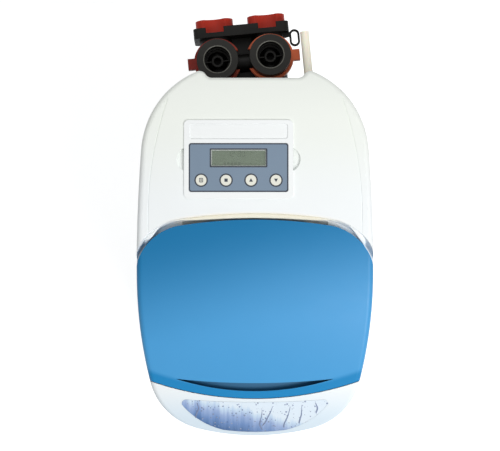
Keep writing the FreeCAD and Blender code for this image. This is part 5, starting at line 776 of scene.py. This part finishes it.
class SOFTENER_OT_add_key_icons(Operator):
    """Print a page, a square and two arrows on the keys"""

    bl_idname = "softener.add_key_icons"
    bl_label = "Key icons"

    def execute(self, context):
        sizes = context.scene.softener_sizes
        half, rise = sizes.icon / MM, sizes.ink_high / MM
        print_ink = ink()
        for key in BUTTONS:
            low, high = panel_box("button_" + key)
            x, y, top = (low[0] + high[0]) / 2, (low[1] + high[1]) / 2, high[2]
            foot, head = top - SUNK, top + rise
            if key == "menu":
                lines = [raised(box_about(x, y + step, half * PAGE_LINES_WIDE, *PAGE_LINE, 4), foot, head)
                         for step in PAGE_LINES]
                bar = skin("menu_lines", on_panel(np.stack(lines)), print_ink, smooth=False)
                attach(bar, "menu_button")
                outer = box_about(x, y, half, half * PAGE_HIGH, PAGE_CORNER)
                page = raised_frame(outer, shrunk(outer, PAGE_OUTLINE), foot, head)
                icon = skin("menu_icon", on_panel(page[None]), print_ink, joined=True, smooth=False)
            else:
                corners = np.array(ICONS[key]) * half + (x, y)
                shape = raised(along_edges(corners), foot, head)
                icon = skin(key + "_icon", on_panel(shape[None]), print_ink, smooth=False)
            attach(icon, key + "_button")
        return {"FINISHED"}


# the prints, in millimetres: how far the fascia's line stays inside the fascia and its corner, how
# far the display's line reaches past the lens and over it with both its corners, and the gap
# between a key and its ring
FASCIA_IN = 0.15
FASCIA_CORNER = 3.2
DISPLAY_OUT = 0.1
DISPLAY_OVER = 0.2
DISPLAY_CORNERS = (0.9, 0.5)
KEY_GAP = 0.35


class SOFTENER_OT_add_fascia_print(Operator):
    """Print the dark lines round the fascia, the display and each key"""

    bl_idname = "softener.add_fascia_print"
    bl_label = "Fascia print"

    def execute(self, context):
        sizes = context.scene.softener_sizes
        low, high = panel_box("panel_fascia")
        foot, head = high[2] - SUNK, high[2] + sizes.ink_high / MM
        print_ink = ink()
        line = sizes.fascia_line / MM
        outer = rounded_box(low[:2] + FASCIA_IN, high[:2] - FASCIA_IN, FASCIA_CORNER)
        inner = rounded_box(low[:2] + FASCIA_IN + line, high[:2] - FASCIA_IN - line,
                            FASCIA_CORNER - line / 2)
        border = skin("fascia_border", on_panel(raised_frame(outer, inner, foot, head)[None]),
                      print_ink, joined=True, smooth=False)
        low, high = panel_box("lcd_lens")
        line = sizes.display_line / MM
        outer = rounded_box(low[:2] - DISPLAY_OUT, high[:2] + DISPLAY_OUT, DISPLAY_CORNERS[0])
        inner = rounded_box(low[:2] + DISPLAY_OVER + line, high[:2] - DISPLAY_OVER - line,
                            DISPLAY_CORNERS[1])
        frame_line = skin("display_border", on_panel(raised_frame(outer, inner, foot, head)[None]),
                          print_ink, joined=True, smooth=False)
        rings = []
        for key in BUTTONS:
            low, high = panel_box("button_" + key)
            centre, radius = (low[:2] + high[:2]) / 2, (high[0] - low[0]) / 2
            rings.append(raised_frame(circle(centre, radius + KEY_GAP + sizes.key_line / MM),
                                      circle(centre, radius + KEY_GAP), foot, head))
        key_rings = skin("key_rings", on_panel(np.stack(rings)), print_ink, joined=True, smooth=False)
        for piece in (border, frame_line, key_rings):
            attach(piece, "softener")
        return {"FINISHED"}


# the display, in millimetres from its left, upper and lower edges: where the digits and the level
# blocks start, the blocks' pitch, and the halves of a block, full and empty; in shares of a digit's
# height, a digit's width and a bar's breadth
DIGITS_IN = 24.0
DIGITS_DOWN = 3.4
DIGIT_WIDE = 0.52
BAR_WIDE = 0.11
BLOCKS_IN = 20.0
BLOCKS_UP = 5.2
BLOCK_PITCH = 5.0
BLOCKS = 8
BLOCKS_FULL = 5
BLOCK_FULL = (1.9, 1.7)
BLOCK_EMPTY = (1.9, 0.3)
SEGMENT_RISE = 0.1


class SOFTENER_OT_add_display_digits(Operator):
    """Show a time of day and a row of level blocks on the display"""

    bl_idname = "softener.add_display_digits"
    bl_label = "Display digits"

    def execute(self, context):
        # each digit is seven bars with places in shares of its width and height, and what is lit is
        # a raised box
        sizes = context.scene.softener_sizes
        low, high = panel_box("lcd_module")
        top = high[2]
        tall = sizes.digit_high / MM
        wide, stroke = tall * DIGIT_WIDE, tall * BAR_WIDE
        lit = {"1": "bc", "2": "abged", "3": "abgcd", "0": "abcdef"}
        bars = {"a": (0.5, 1.0, 1), "b": (1.0, 0.75, 0), "c": (1.0, 0.25, 0), "d": (0.5, 0.0, 1),
                "e": (0.0, 0.25, 0), "f": (0.0, 0.75, 0), "g": (0.5, 0.5, 1)}
        blocks = []
        left, base = low[0] + DIGITS_IN, high[1] - DIGITS_DOWN - tall
        for place, digit in zip((0, 1, 2.5, 3.5), "1230"):
            for bar in lit[digit]:
                x, y, flat = bars[bar]
                x, y = left + place * wide * 1.5 + x * wide, base + y * tall
                half = (wide * 0.42, stroke / 2) if flat else (stroke / 2, tall * 0.21)
                blocks.append((x, y, *half))
        for dot in (0.3, 0.7):
            blocks.append((left + 3.22 * wide, base + dot * tall, stroke / 2, stroke / 2))
        for place in range(BLOCKS):
            halves = BLOCK_FULL if place < BLOCKS_FULL else BLOCK_EMPTY
            blocks.append((low[0] + BLOCKS_IN + place * BLOCK_PITCH, low[1] + BLOCKS_UP, *halves))
        stacks = [raised(box_about(x, y, a, b, min(a, b) * 0.4, 3), top - SUNK, top + SEGMENT_RISE)
                  for x, y, a, b in blocks]
        crystal = moulded("DisplaySegment", srgb("#5A665A"), 0.4, grain=0.8, relief=0.002, drift=0.1)
        piece = skin("display_digits", on_panel(np.stack(stacks)), crystal, smooth=False)
        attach(piece, "softener")
        return {"FINISHED"}


def node_surface(name):
    """A search tree over a node's own triangles."""
    mesh = frame["nodes"][name].data
    return BVHTree.FromPolygons([v.co[:] for v in mesh.vertices], [p.vertices[:] for p in mesh.polygons])


# how far over the window's top a plumb ray starts, in metres, and how many find the nose's profile
RAY_START = 0.05
NOSE_RAYS = 80


def nose_profile():
    """Side view of the nose, in which the window lies flush: heights under plumb rays at even places
    along its middle line, on the window or on the cover, whichever is higher."""
    low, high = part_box("front_window")
    surfaces = (node_surface("front_window"), node_surface("top_cover"))
    places = np.linspace(low.y, high.y, NOSE_RAYS)
    hits = [[tree.ray_cast(Vector((0.0, y, high.z + RAY_START)), DOWN)[0] for tree in surfaces]
            for y in places]
    return places, np.array([max(hit.z for hit in pair if hit is not None) for pair in hits])


def clear_bead(name, dark, pale):
    """Clear polystyrene on the window: see-through, wet-looking and tinted by the print."""
    material, tree, output, place = blank_material(name)
    tone = between(tree, srgb(dark), srgb(pale), (noise(tree, place, 6, 2.0), 0))
    shaded(tree, output, {"IOR": 1.45, "Roughness": 0.08, "Alpha": 0.75}, {"Base Color": (tone, 2)})
    return material


# middle lines of the window's runs of water seen from above, in millimetres, from top to bottom
WATER_RUNS = (
    ((-80.6, -202.5), (-81.8, -206.6), (-78.8, -213.3), (-82.2, -220.5), (-84.1, -225.8), (-84.7, -229.6)),
    ((25.3, -211.1), (22.6, -218.9), (19.7, -225.1), (15.9, -233.9), (12.1, -239.1), (10.8, -242.0)),
    ((10.4, -215.6), (9.9, -224.6), (8.0, -232.8), (7.0, -239.1), (9.2, -244.4), (12.3, -248.0)),
    ((50.1, -211.1), (48.8, -218.9), (46.2, -228.1), (42.2, -237.5), (41.5, -241.7), (42.2, -244.4)),
    ((66.6, -208.8), (66.4, -217.8), (66.3, -224.1), (64.6, -230.3), (63.5, -235.7), (63.9, -237.7)),
    ((85.1, -203.2), (86.1, -206.8), (88.3, -211.4), (88.8, -214.8), (87.8, -218.8), (86.8, -222.8)),
)


# a run's half width in shares of its setting, at its upper end and gained to its lower end, and how
# flat it lies
RUN_UPPER = 0.45
RUN_GAIN = 0.75
RUN_FLAT = 0.55
RUN_PLACES = 40


class SOFTENER_OT_add_water_runs(Operator):
    """Set the moulded runs of water on the window"""

    bl_idname = "softener.add_water_runs"
    bl_label = "Runs of water"

    def execute(self, context):
        # each run is a flattened tube about its eased middle line, which lies on the nose's side view;
        # its half width grows downwards as a line in the share of its length, and closes at both ends
        # with a power of a sine
        half = context.scene.softener_sizes.run
        places, heights = nose_profile()
        routes = np.array(WATER_RUNS) * MM
        share = np.linspace(0, 1, RUN_PLACES)
        knots = np.linspace(0, 1, routes.shape[1])
        x, y = (eased(np.stack([np.interp(share, knots, row) for row in routes[:, :, axis]], axis=1), 6).T
                for axis in (0, 1))
        z = np.interp(y, places, heights)
        centre = np.stack([x, y, z], axis=-1)
        ahead = np.gradient(centre, axis=1)
        ahead /= np.linalg.norm(ahead, axis=-1, keepdims=True)
        slope = np.interp(y, places, np.gradient(heights, places))
        up = np.stack([np.zeros_like(slope), -slope, np.ones_like(slope)], axis=-1)
        up /= np.linalg.norm(up, axis=-1, keepdims=True)
        across = np.cross(ahead, up)
        closing = np.sin(math.pi * np.clip(share * 1.02 + 0.03, 0, 1)) ** 0.35
        thick = half * (RUN_UPPER + RUN_GAIN * share) * closing
        angle = full_turn(12)
        wide = np.cos(angle)[None, None, :, None] * across[:, :, None, :]
        tall = np.sin(angle)[None, None, :, None] * up[:, :, None, :] * RUN_FLAT
        rings = centre[:, :, None, :] + (wide + tall) * thick[None, :, None, None]
        runs = skin("water_runs", rings[:, ::-1], clear_bead("ClearStyreneRun", "#5C6C92", "#A9B7D6"))
        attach(runs, "softener")
        return {"FINISHED"}


# a drop's least radius as a share of the largest one, the power that makes small drops common, its
# length over its width, its height over its radius, and the least upward part of the window's
# direction under it
DROP_LEAST = 0.3
DROP_POWER = 1.6
DROP_LONG = 1.15
DROP_HIGH = 0.5
DROP_UPWARD = 0.2
# each ring's height in shares of the drop's height, and its width in shares of the drop's radius
DROP_RISE = np.array([-0.25, 0.0, 0.45, 0.8])
DROP_SHRINK = np.array([1.0, 1.0, 0.85, 0.5])


class SOFTENER_OT_add_window_drops(Operator):
    """Set the moulded drops on the window"""

    bl_idname = "softener.add_window_drops"
    bl_label = "Window drops"

    def execute(self, context):
        sizes = context.scene.softener_sizes
        low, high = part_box("front_window")
        tree = node_surface("front_window")
        # each drop is a stack of rings about the window's normal, a little longer than wide, that
        # draw in like a dome as they rise
        random = np.random.default_rng(7)
        angle = full_turn(10)
        stacks = []
        for _ in range(sizes.drops):
            x = random.uniform(low.x, high.x)
            y = random.uniform(low.y, high.y)
            radius = sizes.drop * random.uniform(DROP_LEAST, 1.0) ** DROP_POWER
            hit, normal, _, _ = tree.ray_cast(Vector((x, y, high.z + RAY_START)), DOWN)
            if hit is None or normal.z < DROP_UPWARD:
                continue
            across = normal.cross(Vector((0, 1, 0))).normalized()
            along = normal.cross(across).normalized()
            basis = np.array([across, along, normal])
            spread = radius * DROP_SHRINK[:, None]
            height = np.broadcast_to(DROP_RISE[:, None] * radius * DROP_HIGH, (4, 10))
            ring = np.stack([spread * np.cos(angle), -spread * np.sin(angle) * DROP_LONG, height], axis=-1)
            stacks.append(np.array(hit) + ring @ basis)
        if not stacks:
            raise RuntimeError("no drop found the window")
        bead = clear_bead("ClearStyreneBead", "#5F7098", "#BCCBE6")
        drops = skin("window_drops", np.stack(stacks)[:, ::-1], bead)
        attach(drops, "softener")
        return {"FINISHED"}


# the hinge line of the lid, how far the lid's rear edge stands over it, and the draught strip: its
# top, its height, and the centre, first direction and heights of the fan of rays that find its
# place
HINGE_Y = 38.5
HINGE_Z = 653.97
LID_OVER_HINGE = 6.3
STRIP_TOP = 659.2
STRIP_HIGH = 7.0
STRIP_CENTRE = -60.0
STRIP_TURN = 12.0
STRIP_LOOKS = (658.4, 655.0, 651.5, 648.0, 644.0)
# the draught strip's clearances: from the lid's edge at rest, from that edge as it turns, below the
# cover's deck, into the cover's wall, and how far behind the wall the deck's height is read
STRIP_FROM_LID = 1.2
STRIP_FROM_TURN = 0.5
STRIP_BELOW_DECK = 1.4
STRIP_IN_WALL = 0.2
DECK_BEHIND_WALL = 2.5
# the least width that the strip keeps, and the lid's full turn
STRIP_LEAST = 0.5
LID_TURN = math.radians(78)
# how many rays find the cove, and in metres how far outside the lid each starts back, and how far
# over the cove's wall a plumb ray starts
COVE_RAYS = 131
COVE_OUTSIDE = 0.3
DECK_RAY_START = 0.1


def cove_edges():
    """Plan of the cove, in millimetres: the lid's rear edge and the cover's wall, under level rays
    that fan out from a point on the middle line, each at the first of a few heights at which it
    meets both; and the height of the cover's deck behind the wall, under a plumb ray."""
    lid, cover = node_surface("salt_lid"), node_surface("top_cover")
    edge, wall, deck = [], [], []
    for turn in np.radians(np.linspace(STRIP_TURN, 180 - STRIP_TURN, COVE_RAYS)):
        ahead = Vector((math.cos(turn), math.sin(turn), 0.0))
        for height in STRIP_LOOKS:
            centre = Vector((0.0, STRIP_CENTRE * MM, height * MM))
            near = lid.ray_cast(centre + ahead * COVE_OUTSIDE, -ahead)[0]
            far = cover.ray_cast(centre, ahead)[0]
            if near is not None and far is not None and (far - centre).length > (near - centre).length:
                behind = far + ahead * DECK_BEHIND_WALL * MM - DOWN * DECK_RAY_START
                over = cover.ray_cast(behind, DOWN)[0]
                edge.append(near[:2])
                wall.append(far[:2])
                deck.append(over.z)
                break
    return eased(edge, 4) / MM, eased(wall, 4) / MM, eased(deck, 12) / MM


class SOFTENER_OT_add_draught_strip(Operator):
    """Lay the foam strip in the cove behind the lid"""

    bl_idname = "softener.add_draught_strip"
    bl_label = "Draught strip"

    def execute(self, context):
        # the pale strip covers the hollow behind the lid, whose shade would otherwise show dark
        # at each place along the cove a blunt oval, the square roots of cosine and sine, spans from
        # near the lid's edge into the cover's wall, and its top stays under the deck
        edge, wall, deck = cove_edges()
        top = np.minimum(deck - STRIP_BELOW_DECK, STRIP_TOP)
        # the lid's upper rear edge turns about the hinge; the strip stays behind where it passes
        rear = edge[:, 1] - HINGE_Y
        reach = np.hypot(rear, LID_OVER_HINGE)
        last = np.maximum(np.arctan2(LID_OVER_HINGE, rear) - LID_TURN, 0)
        passes = reach * np.sin(last) < top + STRIP_FROM_TURN - HINGE_Z
        swept = np.where(passes, HINGE_Y + reach * np.cos(last) + STRIP_FROM_TURN, -1e3)
        step = wall - edge
        span = np.linalg.norm(step, axis=1)
        from_edge = STRIP_FROM_LID / span
        from_sweep = (swept - edge[:, 1]) / np.maximum(step[:, 1], 1e-6)
        least = np.clip(np.maximum(from_edge, from_sweep), 0.0, 1 - STRIP_LEAST / span)
        # so that it has no steps, the start takes the most of three neighbours on both sides and is
        # eased, and never falls under what is clear of the lid
        grown = np.max([np.roll(least, shift) for shift in range(-3, 4)], axis=0)
        start = np.maximum(least, eased(grown, 12))
        angle = full_turn(20)
        blunt = np.sign(np.cos(angle)) * np.abs(np.cos(angle)) ** 0.5
        across = (blunt[None, :] + 1) / 2 * (1 + STRIP_IN_WALL / span - start)[:, None] + start[:, None]
        tall = np.sign(np.sin(angle)) * np.abs(np.sin(angle)) ** 0.5
        height = top[:, None] - STRIP_HIGH / 2 + tall[None, :] * STRIP_HIGH / 2
        plan = edge[:, None, :] + step[:, None, :] * across[:, :, None]
        rings = np.concatenate([plan, height[:, :, None]], axis=-1)
        # painted reflection: the foam's cream stands for the warm light in the cove
        foam = moulded("FoamPaintedWarmReflection", context.scene.softener_colours.strip, 0.7, grain=0.9,
                       relief=0.05, drift=0.04, shine=0.2, colour_from=strip_painted_reflection_tones)
        strip = skin("draught_strip", rings[None, ::-1] * MM, foam)
        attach(strip, "softener")
        return {"FINISHED"}


class SOFTENER_OT_add_port_lips(Operator):
    """Round the upper inner edge of both ports"""

    bl_idname = "softener.add_port_lips"
    bl_label = "Port lips"

    def execute(self, context):
        # each lip is a ring with a round section, carried about its port's axis
        half = context.scene.softener_sizes.lip / MM
        stacks = []
        for name, side in (("union_ring_left", -1), ("union_ring_right", 1)):
            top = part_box(name)[1].z / MM
            turn, section = full_turn(72), full_turn(12)
            radius = PORT_BORE + half * 0.7 + half * np.cos(section)
            height = top - half * 0.45 + half * np.sin(section)
            stacks.append(np.stack([
                side * PORT_X + radius[:, None] * np.cos(turn), PORT_Y + radius[:, None] * np.sin(turn),
                np.broadcast_to(height[:, None], (12, 72))], axis=-1))
        # painted highlight: the rounded lip is a paler grey than the rings, for the light caught on the
        # bores' edge
        lip_painted_highlight = moulded("NylonLipPaintedHighlight", srgb("#55544C"), 0.25, grain=1.5, relief=0.01, drift=0.15)
        lips = skin("port_lips", on_valve(np.stack(stacks)), lip_painted_highlight, joined=True)
        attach(lips, "softener")
        return {"FINISHED"}


# half the floor's side and its depth, in metres, and its glow
FLOOR_HALF = 4.0
FLOOR_DEEP = 0.02
FLOOR_GLOW = 0.6
# each lamp's place, target and side, and the camera's place seen from above, in metres
SOFT_BOX = ((0.95, -1.05, 2.15), (0.0, -0.05, 0.6), 1.1)
FILL = ((-0.2, 1.2, 1.6), (0.0, 0.1, 0.6), 1.2)
CAMERA_PLACE = (-0.0068, -0.0646)


class SOFTENER_OT_set_stage(Operator):
    """Set the floor, the lamps, the room's light and the camera over the softener"""

    bl_idname = "softener.set_stage"
    bl_label = "Stage"

    def execute(self, context):
        stage = context.scene.softener_stage
        self.set_floor()
        self.set_room(context.scene, stage.sky)
        self.add_lamp("soft_box", *SOFT_BOX, stage.soft_box)
        self.add_lamp("fill", *FILL, stage.fill)
        data = bpy.data.cameras.new("camera")
        data.sensor_width = 36.0
        data.lens = stage.focal
        data.clip_end = 20.0
        camera = bpy.data.objects.new("camera", data)
        camera.location = (*CAMERA_PLACE, stage.camera_height)
        camera.rotation_euler = (stage.camera_tilt, 0.0, 0.0)
        context.scene.collection.objects.link(camera)
        context.scene.camera = camera
        context.scene.view_settings.view_transform = "Standard"
        return {"FINISHED"}

    def set_floor(self):
        """Pale floor: white paint that glows a little to the eye, so that it is white where it is
        lit and still shows the softener's shadow."""
        material, tree, output, place = blank_material("WhitePaintedFloor")
        tone = between(tree, srgb("#E4E6E7"), srgb("#EAEBEC"), (noise(tree, place, 400, 2.0), 0))
        matt = add_node(tree, "BsdfDiffuse", None, {"Color": (tone, 2)})
        glow = add_node(tree, "Math", {1: FLOOR_GLOW}, {0: (seen_share(tree), 0)}, operation="MULTIPLY")
        light = add_node(tree, "Emission", {"Color": (1, 1, 1, 1)}, {"Strength": (glow, 0)})
        both = add_node(tree, "AddShader", None, {0: (matt, 0), 1: (light, 0)})
        tree.links.new(both.outputs[0], output.inputs[0])
        far = along_edges(np.array(((-1, -1), (1, -1), (1, 1), (-1, 1))) * FLOOR_HALF, 6)
        rings = np.stack([at_height(far, -FLOOR_DEEP), at_height(far, 0.0), at_height(far * 0.5, 0.0)])
        skin("floor", rings[None], material, smooth=False)

    def set_room(self, scene, strength):
        """An even room light, seen as white."""
        world = bpy.data.worlds.new("room")
        scene.world = world
        world.use_nodes = True
        tree = world.node_tree
        tree.nodes.clear()
        level = add_node(tree, "MapRange", {3: strength, 4: 1.0}, {0: (seen_share(tree), 0)})
        sky = add_node(tree, "Background", {"Color": opaque(srgb("#FFFFFF"))}, {"Strength": (level, 0)})
        output = add_node(tree, "OutputWorld")
        tree.links.new(sky.outputs[0], output.inputs[0])

    def add_lamp(self, name, place, target, side, power):
        """A square area lamp at a place, turned to a target."""
        data = bpy.data.lights.new(name, "AREA")
        data.size = side
        data.energy = power
        lamp = bpy.data.objects.new(name, data)
        lamp.location = place
        lamp.rotation_euler = (Vector(target) - Vector(place)).to_track_quat("-Z", "Y").to_euler()
        lamp.visible_camera = False
        bpy.context.scene.collection.objects.link(lamp)


class SOFTENER_PT_sidebar(Panel):
    """Lists the softener's steps"""

    bl_label = "Water softener"
    bl_idname = "SOFTENER_PT_sidebar"
    bl_space_type = "VIEW_3D"
    bl_region_type = "UI"
    bl_category = "Softener"

    def draw(self, context):
        for step in STEPS:
            self.layout.operator(step.bl_idname)
        for group in (context.scene.softener_colours, context.scene.softener_sizes,
                      context.scene.softener_stage):
            box = self.layout.box()
            for name in group.__annotations__:
                box.prop(group, name)


STEPS = (
    SOFTENER_OT_finish_shell,
    SOFTENER_OT_finish_panel,
    SOFTENER_OT_finish_bypass,
    SOFTENER_OT_finish_valve,
    SOFTENER_OT_finish_tanks,
    SOFTENER_OT_add_fascia_print,
    SOFTENER_OT_add_key_icons,
    SOFTENER_OT_add_display_digits,
    SOFTENER_OT_add_water_runs,
    SOFTENER_OT_add_window_drops,
    SOFTENER_OT_add_draught_strip,
    SOFTENER_OT_add_port_lips,
    SOFTENER_OT_set_stage,
)
GROUPS = (
    ("softener_colours", SoftenerColours),
    ("softener_sizes", SoftenerSizes),
    ("softener_stage", SoftenerStage),
)


def register():
    """Registers the settings, the steps and the sidebar."""
    for name, group in GROUPS:
        bpy.utils.register_class(group)
        setattr(bpy.types.Scene, name, PointerProperty(type=group))
    for step in STEPS:
        bpy.utils.register_class(step)
    bpy.utils.register_class(SOFTENER_PT_sidebar)


def unregister():
    """Takes back what register added."""
    bpy.utils.unregister_class(SOFTENER_PT_sidebar)
    for step in reversed(STEPS):
        bpy.utils.unregister_class(step)
    for name, group in reversed(GROUPS):
        delattr(bpy.types.Scene, name)
        bpy.utils.unregister_class(group)


def main():
    """Runs every step in order."""
    register()
    make_finishes.kept = make_finishes()
    for step in STEPS:
        family, name = step.bl_idname.split(".")
        getattr(getattr(bpy.ops, family), name)()
    unpainted = sorted(set(frame["nodes"]) - painted)
    if unpainted:
        raise RuntimeError(f"no finish on {unpainted}")


if __name__ == "__main__":
    main()
